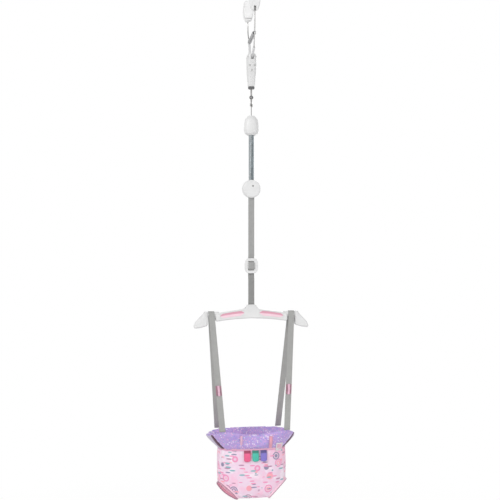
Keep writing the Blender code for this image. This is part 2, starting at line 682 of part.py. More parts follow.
def make_hook(swing):
    inner = EYE_BORE - GAP - BUSH_WALL
    top = -eye_drop - (inner - HOOK_WIRE / 2 - GAP)
    front_side = [Vector((0, y, top + z + HOOK_LOOP_RISE)) for y, z in HOOK_LOOP_PATH]
    rear_side = [Vector((0, -p.y, p.z)) for p in front_side[:4]]
    wrap_radius = HOOK_WIRE + 5 * GAP / 2
    wraps = [p - Vector((0, 0, hook_wrap_drop)) for p in
             coil_points(HOOK_WRAPS, 8, wrap_radius, HOOK_WIRE + 2 * GAP, math.pi / 2)]
    lead_in = smooth_line([*rear_side, wraps[0]], 2)[:-1]
    loop = [*reversed(smooth_line([*rear_side[:1], *front_side], 2)), *lead_in[1:]]
    stem_foot = -cap_eye_drop + CAP_EYE_RADIUS * 1.9
    eye = [Vector((0, y, z)) for y, z in arc((0, -cap_eye_drop), CAP_EYE_RADIUS, 75, -235, 15)]
    points = [*reversed(eye), Vector((0, 0, stem_foot))]
    rise = (front_side[-1].z - stem_foot)
    points += [Vector((0, 0, stem_foot + rise * i / 6)) for i in range(1, 6)]
    points += [*loop, *wraps]
    print("hook, least gap in metres:", round(least_gap(points, HOOK_WIRE), 5))
    hook = link_part(wire("spring_hook", points, HOOK_WIRE / 2, 1), zinc)
    carry(swing, hook)


def cap_profile(inset):
    """The bell's outer side as (radius, height), from the top down, and moved in by this much."""
    low = spring_top + inset
    high = -cap_top_drop - inset
    return [(max(share * UPPER_CAP_WIDTH / 2 - inset, inset), high + (low - high) * down)
            for down, share in UPPER_CAP_SHARES[1:]]


def make_upper_cap(swing):
    hole = HOOK_WIRE / 2 + PLAY
    foot_hole = SPRING_DIAMETER / 2 + PLAY
    for word, side in (("front", FRONT), ("rear", REAR)):
        outer = cap_profile(0)
        inner = [(r, z) for r, z in cap_profile(CAP_WALL) if r > hole * 2]
        ring = [(hole, outer[0][1]), *outer, (foot_hole, outer[-1][1]), (foot_hole, inner[-1][1]),
                *reversed(inner), (hole, inner[0][1])]
        cap = baked(turned(f"upper_cap_{word}", ring, closed=True, segments=24))
        cap.data.transform(Matrix.Diagonal((1, CAP_FLATTENING, 1, 1)))
        for end in ("top", "foot"):
            radius, height = (hole, -cap_top_drop) if end == "top" else (foot_hole, spring_top)
            combine(cap, drum(f"{word}_cap_{end}", radius, CAP_WALL * 4, (0, 0, height),
                              segments=FINE_SEGMENTS))
        combine(cap, half_space(f"{word}_cap_half", side), "INTERSECT")
        link_part(smooth(cap, 45), white_plastic)
        carry(swing, cap)


def make_main_spring(swing):
    radius = (SPRING_DIAMETER - SPRING_WIRE) / 2
    length = SPRING_SHOWN + 2 * SPRING_HIDDEN
    coil = [p + Vector((0, 0, spring_top + SPRING_HIDDEN)) for p in
            coil_points(round(length / SPRING_PITCH), 8, radius, SPRING_PITCH)]
    rest = -cap_eye_drop - CAP_EYE_RADIUS + HOOK_WIRE / 2 + SPRING_WIRE / 2 + GAP
    start = [Vector((x, 0, rest + z)) for x, z in SPRING_HOOK_PATH]
    start.append(Vector((radius, -radius * 0.12, coil[0].z + SPRING_PITCH * 0.6)))
    foot = coil[-1].z
    post = Vector((POST_OFFSET, 0, lower_cap_top - POST_DROP))
    around = POST_RADIUS + SPRING_WIRE / 2 + GAP
    under = [Vector((x, 0, z)) for x, z in arc((post.x, post.z), around, 0, -200, 11)]
    finish = [Vector((radius, radius * 0.12, foot - SPRING_PITCH * 0.6)), *under]
    points = [*start, *coil, *finish]
    print("main spring, least gap in metres:", round(least_gap(points, SPRING_WIRE), 5))
    spring = link_part(wire("main_spring", points, SPRING_WIRE / 2, 1), spring_steel)
    carry(swing, spring)


carry(front_turn, make_clamp_spring())
swivel = pivot("swivel", (0, 0, housing_foot))
make_swivel(swivel)
hook_swing = pivot("hook_swing", (0, 0, -eye_drop), swivel)
make_hook(hook_swing)
make_upper_cap(hook_swing)
make_main_spring(hook_swing)


# The lower cap, the webbing and the slider

CAP_RIM_SHARES = ((0.83, 1), (0.95, 0.84), (1, 0.48), (1, -0.48), (0.95, -0.84), (0.83, -1))
STRAP_BAR_RISE = 0.015
SLIDER_POWER = 3.2
SLIDER_SLOT = 0.008
WEAVE_STEP = STRAP_THICKNESS + GAP


def make_lower_cap(bounce):
    centre = (0, 0, lower_cap_middle)
    radius, half = LOWER_CAP_DIAMETER / 2, LOWER_CAP_DEPTH / 2
    rim = [(radius * r, half * y) for r, y in CAP_RIM_SHARES]
    outer = [(0, half), *rim, (0, -half)]
    inner = [(0, half - CAP_WALL), *[(r - CAP_WALL, y * (1 - CAP_WALL / half)) for r, y in rim],
             (0, CAP_WALL - half)]
    post = (POST_OFFSET, 0, lower_cap_top - POST_DROP)
    bar_height = lower_cap_foot + STRAP_BAR_RISE
    bar_length = LOWER_CAP_DIAMETER * 0.80
    screw_start = -half - GAP + SCREW_HEAD_HEIGHT * 1.2
    for word, side in (("front", FRONT), ("rear", REAR)):
        cap = baked(turned(f"lower_cap_{word}", outer, centre, Y))
        cavity = baked(turned(f"{word}_lower_cavity", inner, centre, Y))
        combine(cavity, drum(f"{word}_post", POST_RADIUS, LOWER_CAP_DEPTH * 2, post, Y))
        combine(cap, cavity)
        combine(cap, drum(f"{word}_spring_hole", SPRING_DIAMETER / 2 + PLAY, LOWER_CAP_DIAMETER / 3,
                          (0, 0, lower_cap_top), segments=FINE_SEGMENTS))
        combine(cap, block(f"{word}_strap_slot",
                           (STRAP_WIDTH + 4 * PLAY, STRAP_THICKNESS * 3, LOWER_CAP_DIAMETER / 3),
                           (0, 0, lower_cap_foot)))
        combine(cap, drum(f"{word}_bar_hole", STRAP_BAR_RADIUS + GAP, bar_length + 2 * GAP,
                          (0, 0, bar_height), X))
        combine(cap, drum(f"{word}_lower_screw_hole", SCREW_SHANK_RADIUS + GAP,
                          LOWER_SCREW_LENGTH + 2 * GAP,
                          (post[0], screw_start + LOWER_SCREW_LENGTH / 2, post[2]), Y))
        sink = screw_start + SCREW_HEAD_HEIGHT + GAP - LOWER_CAP_DEPTH / 2
        combine(cap, drum(f"{word}_lower_screw_sink", SCREW_HEAD_RADIUS + GAP, LOWER_CAP_DEPTH,
                          (post[0], sink, post[2]), Y))
        combine(cap, half_space(f"{word}_lower_half", side), "INTERSECT")
        link_part(smooth(cap, 45), white_plastic)
        carry(bounce, cap)
    screw = make_screw("lower_cap_screw", (post[0], screw_start, post[2]), Y, LOWER_SCREW_LENGTH)
    bar = link_part(drum("strap_bar", STRAP_BAR_RADIUS, bar_length, (0, 0, bar_height), X), zinc)
    carry(bounce, screw, bar)


def make_upper_strap(bounce):
    """From a loop on the strap bar down to behind the slider's foot bar."""
    bar_height = lower_cap_foot + STRAP_BAR_RISE
    around = STRAP_BAR_RADIUS + GAP + STRAP_THICKNESS / 2
    away = WEAVE_STEP * 0.62
    loop = arc((0, bar_height), around, 200, -20, 11)
    tail_foot = bar_height - STRAP_BAR_RISE * 0.8
    path = [(away, tail_foot), (away * 1.15, bar_height - around * 1.9), *reversed(loop),
            (-away * 1.15, bar_height - around * 1.9), (-away, tail_foot - STRAP_THICKNESS),
            (0, lower_cap_foot - STRAP_WIDTH * 0.4), (0, slider_top + STRAP_WIDTH * 0.6)]
    half, edge = SLIDER_THICKNESS / 2, GAP + STRAP_THICKNESS / 2
    wrapped = edge + WEAVE_STEP
    bar_foot, next_bar = slider_top - SLIDER_BAR_HEIGHT, slider_foot + SLIDER_BAR_HEIGHT
    path += [(half + edge, slider_top), *arc((half, bar_foot), edge, 0, -50, 4),
             *arc((-half, bar_foot - SLIDER_SLOT), wrapped, 130, 180, 4),
             *arc((-half, next_bar + SLIDER_SLOT), wrapped, 180, 230, 4),
             *arc((half, next_bar), edge, 50, 0, 4), (half + edge, slider_foot + PLAY)]
    strap = link_part(webbing("upper_strap", path), webbing_look)
    carry(bounce, strap)


def make_slider(adjust):
    outline = superellipse(SLIDER_WIDTH / 2, SLIDER_HEIGHT / 2, SLIDER_POWER, 24)
    slot_half = (STRAP_WIDTH + 4 * PLAY) / 2
    holes = []
    for end in (1, -1):
        outer = end * (SLIDER_HEIGHT / 2 - SLIDER_BAR_HEIGHT)
        inner = outer - end * SLIDER_SLOT
        low, high = sorted((outer, inner))
        holes.append([(-slot_half, low), (slot_half, low), (slot_half, high), (-slot_half, high)])
    slider = plate("slider", outline, SLIDER_THICKNESS, (0, 0, (slider_top + slider_foot) / 2), holes)
    bevel(slider, SLIDER_THICKNESS / 5, 1)
    link_part(smooth(slider, 50), white_plastic)
    carry(adjust, slider)


def make_strap_loop(hanger):
    """From below the slider, under the spreader's pin and back up to a sewn end round the middle bar."""
    half, edge = SLIDER_THICKNESS / 2, GAP + STRAP_THICKNESS / 2
    apart = WEAVE_STEP * 0.7
    around = SPREADER_PIN_RADIUS + GAP + STRAP_THICKNESS / 2
    bar_top = slider_top - SLIDER_BAR_HEIGHT - SLIDER_SLOT
    bar_foot = slider_foot + SLIDER_BAR_HEIGHT + SLIDER_SLOT
    outer = half + edge + WEAVE_STEP
    path = [(half + edge, slider_foot), (-apart, slider_foot - STRAP_WIDTH),
            (-apart, spreader_top + STRAP_WIDTH * 0.4)]
    path += arc((0, spreader_pin_height), around, 180, 360, 11)
    path += [(apart, spreader_top + STRAP_WIDTH * 0.4), (apart, slider_foot - STRAP_WIDTH),
             (outer, slider_foot), (outer, bar_foot - SLIDER_SLOT * 0.7), (half, bar_foot - edge * 1.7),
             *arc((-half, bar_foot), edge, -90, -180, 4), *arc((-half, bar_top), edge, 180, 90, 4),
             *arc((half, bar_top), edge, 90, 0, 4), (half + edge, bar_foot + edge)]
    loop = link_part(webbing("strap_loop", path), webbing_look)
    carry(hanger, loop)


bounce = pivot("bounce", (0, 0, spring_top), hook_swing)
make_lower_cap(bounce)
make_upper_strap(bounce)
adjust = pivot("height_adjust", (0, 0, slider_top), bounce)
make_slider(adjust)
hanger = pivot("strap_loop_travel", (0, 0, spreader_pin_height), adjust)
make_strap_loop(hanger)


# The spreader

CROWN_SHARES = ((0, 0), (0.0638, 0), (0.1149, 0.015), (0.1389, 0.155), (0.1724, 0.275), (0.2314, 0.345),
                (0.4789, 0.44), (0.9002, 0.61), (0.9737, 0.62), (1, 0.68), (1, 1.19), (0.9577, 1.23),
                (0.7183, 1.14), (0.4661, 1.07), (0, 1.01))
FIN_SHARES = ((0, 0.56), (0.0566, 0.46), (0.153, 0.5), (0.3962, 0.778), (0.6646, 1.06), (0.8574, 1.28),
              (0.9832, 1.56), (1, 1.67), (0.9161, 1.72), (0.4927, 1.68), (0, 1.53))
INLAY_SHARES = ((0.2155, 0.445), (0.4789, 0.52), (0.8699, 0.69), (0.8699, 0.985), (0.4789, 0.86),
                (0.2155, 0.8))
POCKET_SHARES = ((0.2713, 0.5), (0.4789, 0.56), (0.8619, 0.7), (0.8619, 1.08), (0.7183, 1.03),
                 (0.4661, 0.95), (0.2713, 0.93))
SPREADER_SCREW_SHARES = (0.67, 0.93)
SPREADER_SCREW_LENGTH = 0.018


def spreader_points(shares, side, inset=0.0, start=0, end=crown_end):
    """(x, z) points from shares of the way from start to end and of the crown's height, less the inset."""
    reach = end - start
    points = [Vector((side * (start + x * reach), spreader_top - z * SPREADER_CROWN)) for x, z in shares]
    low = [min(p[i] for p in points) for i in range(2)]
    high = [max(p[i] for p in points) for i in range(2)]
    middle = [(a + b) / 2 for a, b in zip(low, high)]
    factors = [1 - 2 * inset / (b - a) for a, b in zip(low, high)]
    return [tuple(m + (v - m) * f for v, m, f in zip(p, middle, factors)) for p in points]


def make_spreader(hanger, pitch):
    half_depth = SPREADER_DEPTH / 2
    pin_length = STRAP_WIDTH * 2.1
    neck_x = NECK_SPACING / 2
    screw_x = SPREADER_SCREW_SHARES[0] * crown_end
    screw_z = spreader_top - SPREADER_SCREW_SHARES[1] * SPREADER_CROWN
    face = half_depth - SPREADER_SCREW_LENGTH * 0.08
    sink = face - SCREW_HEAD_HEIGHT - GAP + SPREADER_DEPTH / 2
    for word, side in (("front", FRONT), ("rear", REAR)):
        outline = mirrored(spreader_points(CROWN_SHARES, RIGHT))
        shell = bevel(plate(f"spreader_{word}", outline, SPREADER_DEPTH), SPREADER_DEPTH / 7, 1, 60)
        for end in (LEFT, RIGHT):
            fin_outline = spreader_points(FIN_SHARES, end, 0, fin_start, SPREADER_SPAN / 2)
            fin = plate(f"{word}_fin_{end}", fin_outline, SPREADER_DEPTH)
            combine(shell, bevel(fin, SPREADER_DEPTH / 7, 1, 60), "UNION")
            neck = drum(f"{word}_neck_{end}", NECK_RADIUS, GROOVE_WIDTH * 1.9,
                        (end * neck_x, 0, neck_height), X, 28)
            combine(shell, neck, "UNION")
        for end in (LEFT, RIGHT):
            pocket = plate(f"{word}_pocket_{end}", spreader_points(POCKET_SHARES, end),
                           SPREADER_DEPTH - 2 * (SPREADER_WALL + INLAY_RECESS))
            combine(pocket, drum(f"{word}_screw_post_{end}", BOSS_RADIUS, SPREADER_DEPTH,
                                 (end * screw_x, 0, screw_z), Y))
            combine(shell, pocket)
            combine(shell, plate(f"{word}_inlay_recess_{end}", spreader_points(INLAY_SHARES, end, -GAP),
                                 2 * (INLAY_RECESS + GAP), (0, side * half_depth, 0)))
            combine(shell, drum(f"{word}_spreader_screw_hole_{end}", SCREW_SHANK_RADIUS + GAP,
                                SPREADER_SCREW_LENGTH + 2 * GAP,
                                (end * screw_x, face - SPREADER_SCREW_LENGTH / 2, screw_z), Y))
            combine(shell, drum(f"{word}_spreader_screw_sink_{end}", SCREW_HEAD_RADIUS + GAP,
                                SPREADER_DEPTH, (end * screw_x, sink, screw_z), Y))
        slot_foot = spreader_pin_height - SPREADER_PIN_RADIUS - 3 * STRAP_THICKNESS
        slot_height = 2 * (spreader_top - slot_foot)
        combine(shell, block(f"{word}_strap_slot",
                             (STRAP_WIDTH + 4 * PLAY, SPREADER_DEPTH * 0.54, slot_height),
                             (0, 0, slot_foot + slot_height / 2)))
        combine(shell, drum(f"{word}_spreader_pin_hole", SPREADER_PIN_RADIUS + GAP, pin_length + 2 * GAP,
                            (0, 0, spreader_pin_height), X))
        combine(shell, half_space(f"{word}_spreader_half", side), "INTERSECT")
        link_part(smooth(shell, 50), white_plastic)
        carry(pitch, shell)
        for end_word, end in (("left", LEFT), ("right", RIGHT)):
            inlay = plate(f"{end_word}_{word}_inlay", spreader_points(INLAY_SHARES, end), INLAY_THICKNESS,
                          (0, side * (half_depth - INLAY_RECESS + INLAY_THICKNESS / 2), 0))
            bevel(inlay, INLAY_THICKNESS / 4, 1)
            link_part(inlay, pink_plastic)
            carry(pitch, inlay)
    for word, end in (("left", LEFT), ("right", RIGHT)):
        carry(pitch, make_screw(f"spreader_screw_{word}", (end * screw_x, face, screw_z), -Y,
                                SPREADER_SCREW_LENGTH))
    pin = drum("spreader_pin", SPREADER_PIN_RADIUS, pin_length, (0, 0, spreader_pin_height), X)
    carry(hanger, link_part(pin, zinc))


bar_pitch = pivot("bar_pitch", (0, 0, spreader_pin_height), hanger)
make_spreader(hanger, bar_pitch)


# The seat

RIM_FRONT_RISE = 0.011
RIM_REAR_FALL = 0.006
RIM_SIDE_FALL = 0.015
RIM_SIDE_SHIFT = 0.022       # of the rim's widest places, to the rear
BAG_RING_SHARES = ((0, 0.983, 0.954), (0.20, 1, 1), (0.50, 1, 1), (0.76, 0.99, 0.98), (0.93, 0.94, 0.88),
                   (1, 0.82, 0.64))
BAG_POWER = 2.5
LEG_PLANE_PLACE = (0.0870, 0.0205)
BAND_SLIT_PLACE = 0.038      # of the slits that part the band, before the middle
BAND_SLIT = 0.002
TAG_PLACES = (-0.0236, 0.0034, 0.0304)
BAND_LOOP_PLACES = ((-0.0440, 0.003), (0.0530, 0.007))
BAND_LOOP_SIZES = ((0.008, 0.030), (0.010, 0.040))
LABEL_PLACE = (0.0835, 0.045)
STRAP_LOOP_DROP = 0.2425

strap_slope = (NECK_SPACING - RIM_STRAP_SPACING) / 2 / SEAT_STRAP_DROP


def rim_ring(grow):
    """The seat's rim, drawn up and out where the four straps pull, grown by this much."""
    side, deep = RIM_STRAP_SPACING / 2, RIM_STRAP_DEPTH / 2
    corners = [(RIM_WIDTH / 2, RIM_SIDE_SHIFT, -RIM_SIDE_FALL), (side, deep, -RIM_REAR_FALL),
               (0, RIM_DEPTH / 2, 0), (-side, deep, -RIM_REAR_FALL),
               (-RIM_WIDTH / 2, RIM_SIDE_SHIFT, -RIM_SIDE_FALL), (-side, -deep, RIM_FRONT_RISE),
               (0, -RIM_DEPTH / 2, 0), (side, -deep, RIM_FRONT_RISE)]
    line = smooth_line([*corners[-1:], *corners, *corners[:2]], 3)[3:-4]
    wide, long = 1 + 2 * grow / RIM_WIDTH, 1 + 2 * grow / RIM_DEPTH
    return [(x * wide, y * long, rim_height + z) for x, y, z in line]


def bag_ring(index, grow):
    down, wide, deep = BAG_RING_SHARES[index]
    ring = superellipse(wide * BAG_WIDTH / 2 + grow, deep * BAG_DEPTH / 2 + grow, BAG_POWER, 24)
    return [(x, y, band_foot - down * BAG_HEIGHT) for x, y in ring]


def lowered(ring, drop):
    return [(x, y, z - drop) for x, y, z in ring]


def leg_slab(name, side, thickness, offset):
    """A slab across one lower corner of the bag, set off outwards from the leg's edge."""
    level = math.cos(LEG_EDGE_TILT)
    outward = Vector((side * math.sin(LEG_EDGE_ANGLE) * level, -math.sin(LEG_EDGE_TILT),
                      -math.cos(LEG_EDGE_ANGLE) * level))
    place = Vector((side * LEG_PLANE_PLACE[0], 0, bag_foot + LEG_PLANE_PLACE[1]))
    slab = block(name, (2 * BAG_WIDTH, 2 * BAG_WIDTH, thickness), (0, 0, 0))
    slab.matrix_world = Matrix.Translation(place + outward * (offset + thickness / 2)) @ facing(outward)
    return slab


def make_bag(name):
    count = len(BAG_RING_SHARES)
    outer = [lowered(bag_ring(i, 0), GAP if i == 0 else 0) for i in reversed(range(count))]
    inner = [lowered(bag_ring(i, -BAG_WALL), GAP if i == 0 else 0) for i in range(count - 1)]
    inner.append([(x, y, z + BAG_WALL) for x, y, z in bag_ring(count - 1, -BAG_WALL)])
    return smooth(loft(name, [*outer, *inner], split=True), 60)


def make_band(word, side):
    outer = [rim_ring(0), bag_ring(0, 0)]
    inner = [bag_ring(0, -BAND_WALL), rim_ring(-BAND_WALL)]
    band = smooth(loft(f"seat_band_{word}", [*outer, *inner], True, True), 60)
    reach = RIM_WIDTH
    middle = -BAND_SLIT_PLACE + side * (reach + BAND_SLIT) / 2
    combine(band, block(f"{word}_band_half", (2 * reach, reach, 2 * reach), (0, middle, rim_height)),
            "INTERSECT")
    return link_part(band, band_fabric)


def make_ribbon(name, centre_x, top, bottom, width, look):
    """A flat ribbon lying on the front of the band and the bag."""
    near, far = GAP, GAP + RIBBON_THICKNESS
    skin = [rim_ring(far), *[bag_ring(i, far) for i in range(3)],
            *[bag_ring(i, near) for i in (2, 1, 0)], rim_ring(near)]
    ribbon = smooth(loft(name, skin, True, True), 60)
    combine(ribbon, block(name + "_cut", (width, RIM_STRAP_DEPTH, top - bottom),
                          (centre_x, -RIM_STRAP_DEPTH * 0.62, (top + bottom) / 2)), "INTERSECT")
    return link_part(ribbon, look)


def sheared(obj, side):
    """Leans a strap in towards the seat, level by level, so that its bend round the neck stays round."""
    slope = Matrix.Identity(4)
    slope[0][2] = side * strap_slope
    base = obj.matrix_world.copy()
    lean = Matrix.Translation((side * NECK_SPACING / 2, 0, neck_height)) @ slope
    obj.data.transform(lean @ Matrix.Translation((0, 0, -neck_height)) @ base)
    obj.matrix_world = Matrix.Identity(4)
    return obj


def make_seat(seat):
    around = NECK_RADIUS + GAP + STRAP_THICKNESS / 2
    reach = RIM_STRAP_DEPTH / 2 - BAND_WALL / 2
    front_end = (-reach, rim_height + RIM_FRONT_RISE + 4 * GAP)
    rear_end = (reach, rim_height - RIM_REAR_FALL + 4 * GAP)
    lean = math.degrees(math.atan(reach / SEAT_STRAP_DROP))
    path = [front_end, *arc((0, neck_height), around, 180 - lean, lean, 13), rear_end]
    start, end = Vector(path[1]), Vector(path[0])
    along = (end - start).normalized()
    off = Vector((along.y, -along.x)) * (STRAP_THICKNESS + RIBBON_THICKNESS + 2 * GAP) / 2
    loop_start = start + along * (STRAP_LOOP_DROP - NECK_RADIUS) + off
    loop_path = [tuple(loop_start), tuple(loop_start + along * TOY_LOOP_HEIGHT)]
    pieces = []
    for word, side in (("left", LEFT), ("right", RIGHT)):
        strap = sheared(webbing(f"{word}_seat_strap", path), side)
        pieces.append(link_part(strap, webbing_look))
        toy_loop = webbing(f"{word}_strap_toy_loop", loop_path, TOY_LOOP_WIDTH, RIBBON_THICKNESS)
        pieces.append(link_part(sheared(toy_loop, side), pink_ribbon))
    bag = make_bag("seat_bag")
    for side in (LEFT, RIGHT):
        combine(bag, leg_slab(f"leg_cut_{side}", side, BAG_WIDTH, -BINDING_WIDTH / 2))
    pieces.append(link_part(bag, bag_fabric))
    for word, side in (("left", LEFT), ("right", RIGHT)):
        binding = make_bag(f"{word}_leg_binding")
        slab = leg_slab(f"{word}_leg_slab", side, BINDING_WIDTH, GAP - BINDING_WIDTH / 2)
        combine(binding, slab, "INTERSECT")
        pieces.append(link_part(binding, binding_fabric))
    pieces += [make_band("front", FRONT), make_band("rear", REAR)]
    for word, x, look in zip(("first", "second", "third"), TAG_PLACES, tag_looks):
        top = band_foot - GAP
        pieces.append(make_ribbon(f"{word}_ribbon_tag", x, top, top - TAG_LENGTH, TAG_WIDTH, look))
    for word, (x, drop), (width, length) in zip(("left", "right"), BAND_LOOP_PLACES, BAND_LOOP_SIZES):
        top = rim_height - drop
        pieces.append(make_ribbon(f"{word}_band_toy_loop", x, top, top - length, width, pink_ribbon))
    x, drop = LABEL_PLACE
    top = rim_height - drop + LABEL_HEIGHT / 2
    pieces.append(make_ribbon("seat_label", x, top, top - LABEL_HEIGHT, LABEL_WIDTH, white_ribbon))
    carry(seat, *pieces)


make_seat(pivot("seat_swing", (0, 0, neck_height), bar_pitch))
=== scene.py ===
"""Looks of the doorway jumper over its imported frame: finer springs, webbing, sewn seat, light, camera."""

import math
from contextlib import contextmanager

import bpy
import bmesh
import numpy as np
from mathutils import Matrix, Vector


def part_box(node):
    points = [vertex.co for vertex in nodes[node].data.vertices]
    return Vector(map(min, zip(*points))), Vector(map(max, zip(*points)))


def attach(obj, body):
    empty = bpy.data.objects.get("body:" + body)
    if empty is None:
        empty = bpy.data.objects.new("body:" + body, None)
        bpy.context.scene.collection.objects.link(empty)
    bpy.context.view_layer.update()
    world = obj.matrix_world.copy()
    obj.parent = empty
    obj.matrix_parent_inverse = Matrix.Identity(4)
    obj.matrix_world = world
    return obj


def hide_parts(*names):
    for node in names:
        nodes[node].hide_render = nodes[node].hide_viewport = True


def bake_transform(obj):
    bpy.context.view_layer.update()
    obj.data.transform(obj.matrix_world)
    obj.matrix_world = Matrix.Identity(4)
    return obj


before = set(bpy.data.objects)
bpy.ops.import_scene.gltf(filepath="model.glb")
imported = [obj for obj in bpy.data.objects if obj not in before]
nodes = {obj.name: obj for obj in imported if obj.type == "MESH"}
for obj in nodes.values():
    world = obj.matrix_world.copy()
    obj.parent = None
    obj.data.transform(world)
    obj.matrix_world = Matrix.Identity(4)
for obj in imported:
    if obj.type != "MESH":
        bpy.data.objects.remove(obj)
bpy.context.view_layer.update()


# Sizes and places

def extent(node):
    """The frame node's lowest and highest place along x, y and z, in metres to a micrometre."""
    return [tuple(round(place, 6) for place in pair) for pair in zip(*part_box(node))]


def centre_of(pair):
    return round((pair[0] + pair[1]) / 2, 6)


def size_of(pair):
    return round(pair[1] - pair[0], 6)


X, Y, Z = range(3)
SPRING_TOP, SPRING_FOOT = extent("upper_cap_front")[Z][0], -0.582
LOWER_CAP_FOOT = extent("lower_cap_front")[Z][0]
SLIDER_FOOT, SLIDER_TOP = extent("slider")[Z]
SPREADER_TOP = extent("spreader_front")[Z][1]
PIN_HEIGHT = centre_of(extent("spreader_pin")[Z])
NECK_HEIGHT, NECK_RADIUS, NECK_SPACING = -1.02895, 0.009, 0.268
STRAP_WIDTH, STRAP_THICKNESS = size_of(extent("upper_strap")[X]), 0.0016
CLEARANCE = 0.0003
BAND_FOOT, RIM_TOP = extent("seat_band_front")[Z]
RIM_FRONT_RISE, RIM_REAR_DROP, RIM_SIDE_DROP = 0.011, 0.006, 0.015
RIM_HEIGHT = round(RIM_TOP - RIM_FRONT_RISE, 6)
RIM_WIDTH, RIM_DEPTH, RIM_SIDE_SHIFT = size_of(extent("seat_band_rear")[X]), 0.122, 0.022
RIM_STRAP_SPACING, RIM_STRAP_DEPTH = 0.210, 2 * extent("seat_band_rear")[Y][1]
BAND_WALL = 0.007
BAG_WIDTH, BAG_DEPTH = (size_of(extent("seat_bag")[axis]) for axis in (X, Y))
BAG_FOOT = extent("seat_bag")[Z][0]
LEG_ANGLE, LEG_TILT, LEG_PLACE = math.radians(46), math.radians(16), (0.0870, 0.0205)
SLIT_DEPTH = centre_of((extent("seat_band_front")[Y][1], extent("seat_band_rear")[Y][0]))
LABEL_HEIGHT = size_of(extent("seat_label")[Z])

model = bpy.data.collections.new("jumper_looks")
bpy.context.scene.collection.children.link(model)


# Materials

WHITE = (0.74, 0.74, 0.74)


class Look:
    """A material's node tree, built up by short calls."""

    def __init__(self, name, roughness=0.5, metallic=0.0):
        self.material = bpy.data.materials.new(name)
        self.material.use_nodes = True
        self.tree = self.material.node_tree
        self.shader = self.tree.nodes["Principled BSDF"]
        self.set(self.shader, Roughness=roughness, Metallic=metallic)
        self.place = self.node("ShaderNodeTexCoord").outputs["Object"]

    def node(self, kind, **settings):
        made = self.tree.nodes.new(kind)
        for key, value in settings.items():
            setattr(made, key, value)
        return made

    def link(self, source, target):
        self.tree.links.new(source, target)

    def fill(self, sockets, values):
        """Links each socket to its value, or sets it to a constant."""
        for socket, value in zip(sockets, values):
            if isinstance(value, bpy.types.NodeSocket):
                self.link(value, socket)
            elif socket.type == "RGBA" and len(value) == 3:
                socket.default_value = (*value, 1)
            else:
                socket.default_value = value

    def set(self, node, **values):
        self.fill([node.inputs[key.replace("_", " ")] for key in values], values.values())

    def math(self, operation, a, b=0.0):
        made = self.node("ShaderNodeMath", operation=operation)
        self.fill(made.inputs, (a, b))
        return made.outputs[0]

    def times(self, a, b):
        return self.math("MULTIPLY", a, b)

    def off(self, value, middle):
        """How far the value is from the middle."""
        return self.math("ABSOLUTE", self.math("SUBTRACT", value, middle))

    def wave(self, value, pitch):
        return self.math("SINE", self.times(value, 2 * math.pi / pitch))

    def span(self, value, low, high, to_low=0.0, to_high=1.0):
        made = self.node("ShaderNodeMapRange")
        self.fill(made.inputs, (value, low, high, to_low, to_high))
        return made.outputs[0]

    def mix(self, factor, a, b):
        made = self.node("ShaderNodeMix", data_type="RGBA")
        self.fill((made.inputs[0], made.inputs[6], made.inputs[7]), (factor, a, b))
        return made.outputs[2]

    def mapped(self, source, **settings):
        made = self.node("ShaderNodeMapping")
        self.set(made, Vector=source, **settings)
        return made.outputs[0]

    def noise(self, scale, detail, roughness=0.5, stretch=None):
        made = self.node("ShaderNodeTexNoise")
        source = self.mapped(self.place, Scale=stretch) if stretch else self.place
        self.set(made, Vector=source, Scale=scale, Detail=detail, Roughness=roughness)
        return made.outputs["Fac"]

    def parts(self, source):
        made = self.node("ShaderNodeSeparateXYZ")
        self.link(source, made.inputs[0])
        return made.outputs

    def uv(self):
        return self.node("ShaderNodeUVMap", uv_map="cloth").outputs[0]

    def bump(self, height, distance, strength, rounded=0.0):
        """Raises the surface by height; rounded is the radius of the piece's edges."""
        made = self.node("ShaderNodeBump")
        self.set(made, Height=height, Distance=distance, Strength=strength)
        if rounded:
            edge = self.node("ShaderNodeBevel", samples=4)
            self.set(edge, Radius=rounded)
            self.set(made, Normal=edge.outputs[0])
        self.set(self.shader, Normal=made.outputs[0])


def shaded(colour, share):
    """The colour at this share of its brightness."""
    return tuple(c * share for c in colour)


def moulded(name, colour, roughness=0.42, rounded=0.0006, grain=0.00004, variation=0.05, shadow_line_height=None):
    """Moulded plastic: fine grain, faint scuffs and a rounded edge.

    shadow_line_height is the height of a thin painted shadow line across it.
    """
    look = Look(name, roughness)
    cloudy = look.noise(28, 4)
    scuff = look.noise(420, 2, 0.6, stretch=(1, 1, 0.12))
    worn = look.span(scuff, 0.62, 0.78)
    tint = look.mix(look.span(cloudy, 0.35, 0.65), shaded(colour, 1 - variation), colour)
    # Painted shade: a thin dark line across the piece at the given height, standing in for the shadow of a
    # groove.
    if shadow_line_height is not None:
        off = look.off(look.parts(look.place)[2], shadow_line_height)
        tint = look.mix(look.span(off, 0.0010, 0.0024, 0.75, 0.0), tint, shaded(colour, 0.35))
    rough = look.math("ADD", look.span(cloudy, 0.3, 0.7, roughness - 0.05, roughness + 0.06),
                      look.times(worn, 0.10))
    look.set(look.shader, Base_Color=tint, Roughness=rough, IOR=1.46)
    look.bump(look.noise(2600, 2), grain, 0.5, rounded)
    return look.material


def metal(name, colour, roughness=0.3):
    """Drawn or plated metal with fine marks along it and duller patches."""
    look = Look(name, roughness, 1.0)
    patches = look.noise(90, 3)
    marks = look.noise(1500, 2, 0.6, stretch=(1, 1, 0.1))
    look.set(look.shader, Base_Color=look.mix(look.span(patches, 0.35, 0.7), colour, shaded(colour, 0.72)),
             Roughness=look.span(marks, 0.25, 0.75, roughness - 0.08, roughness + 0.14))
    look.bump(marks, 0.00003, 0.6)
    return look.material


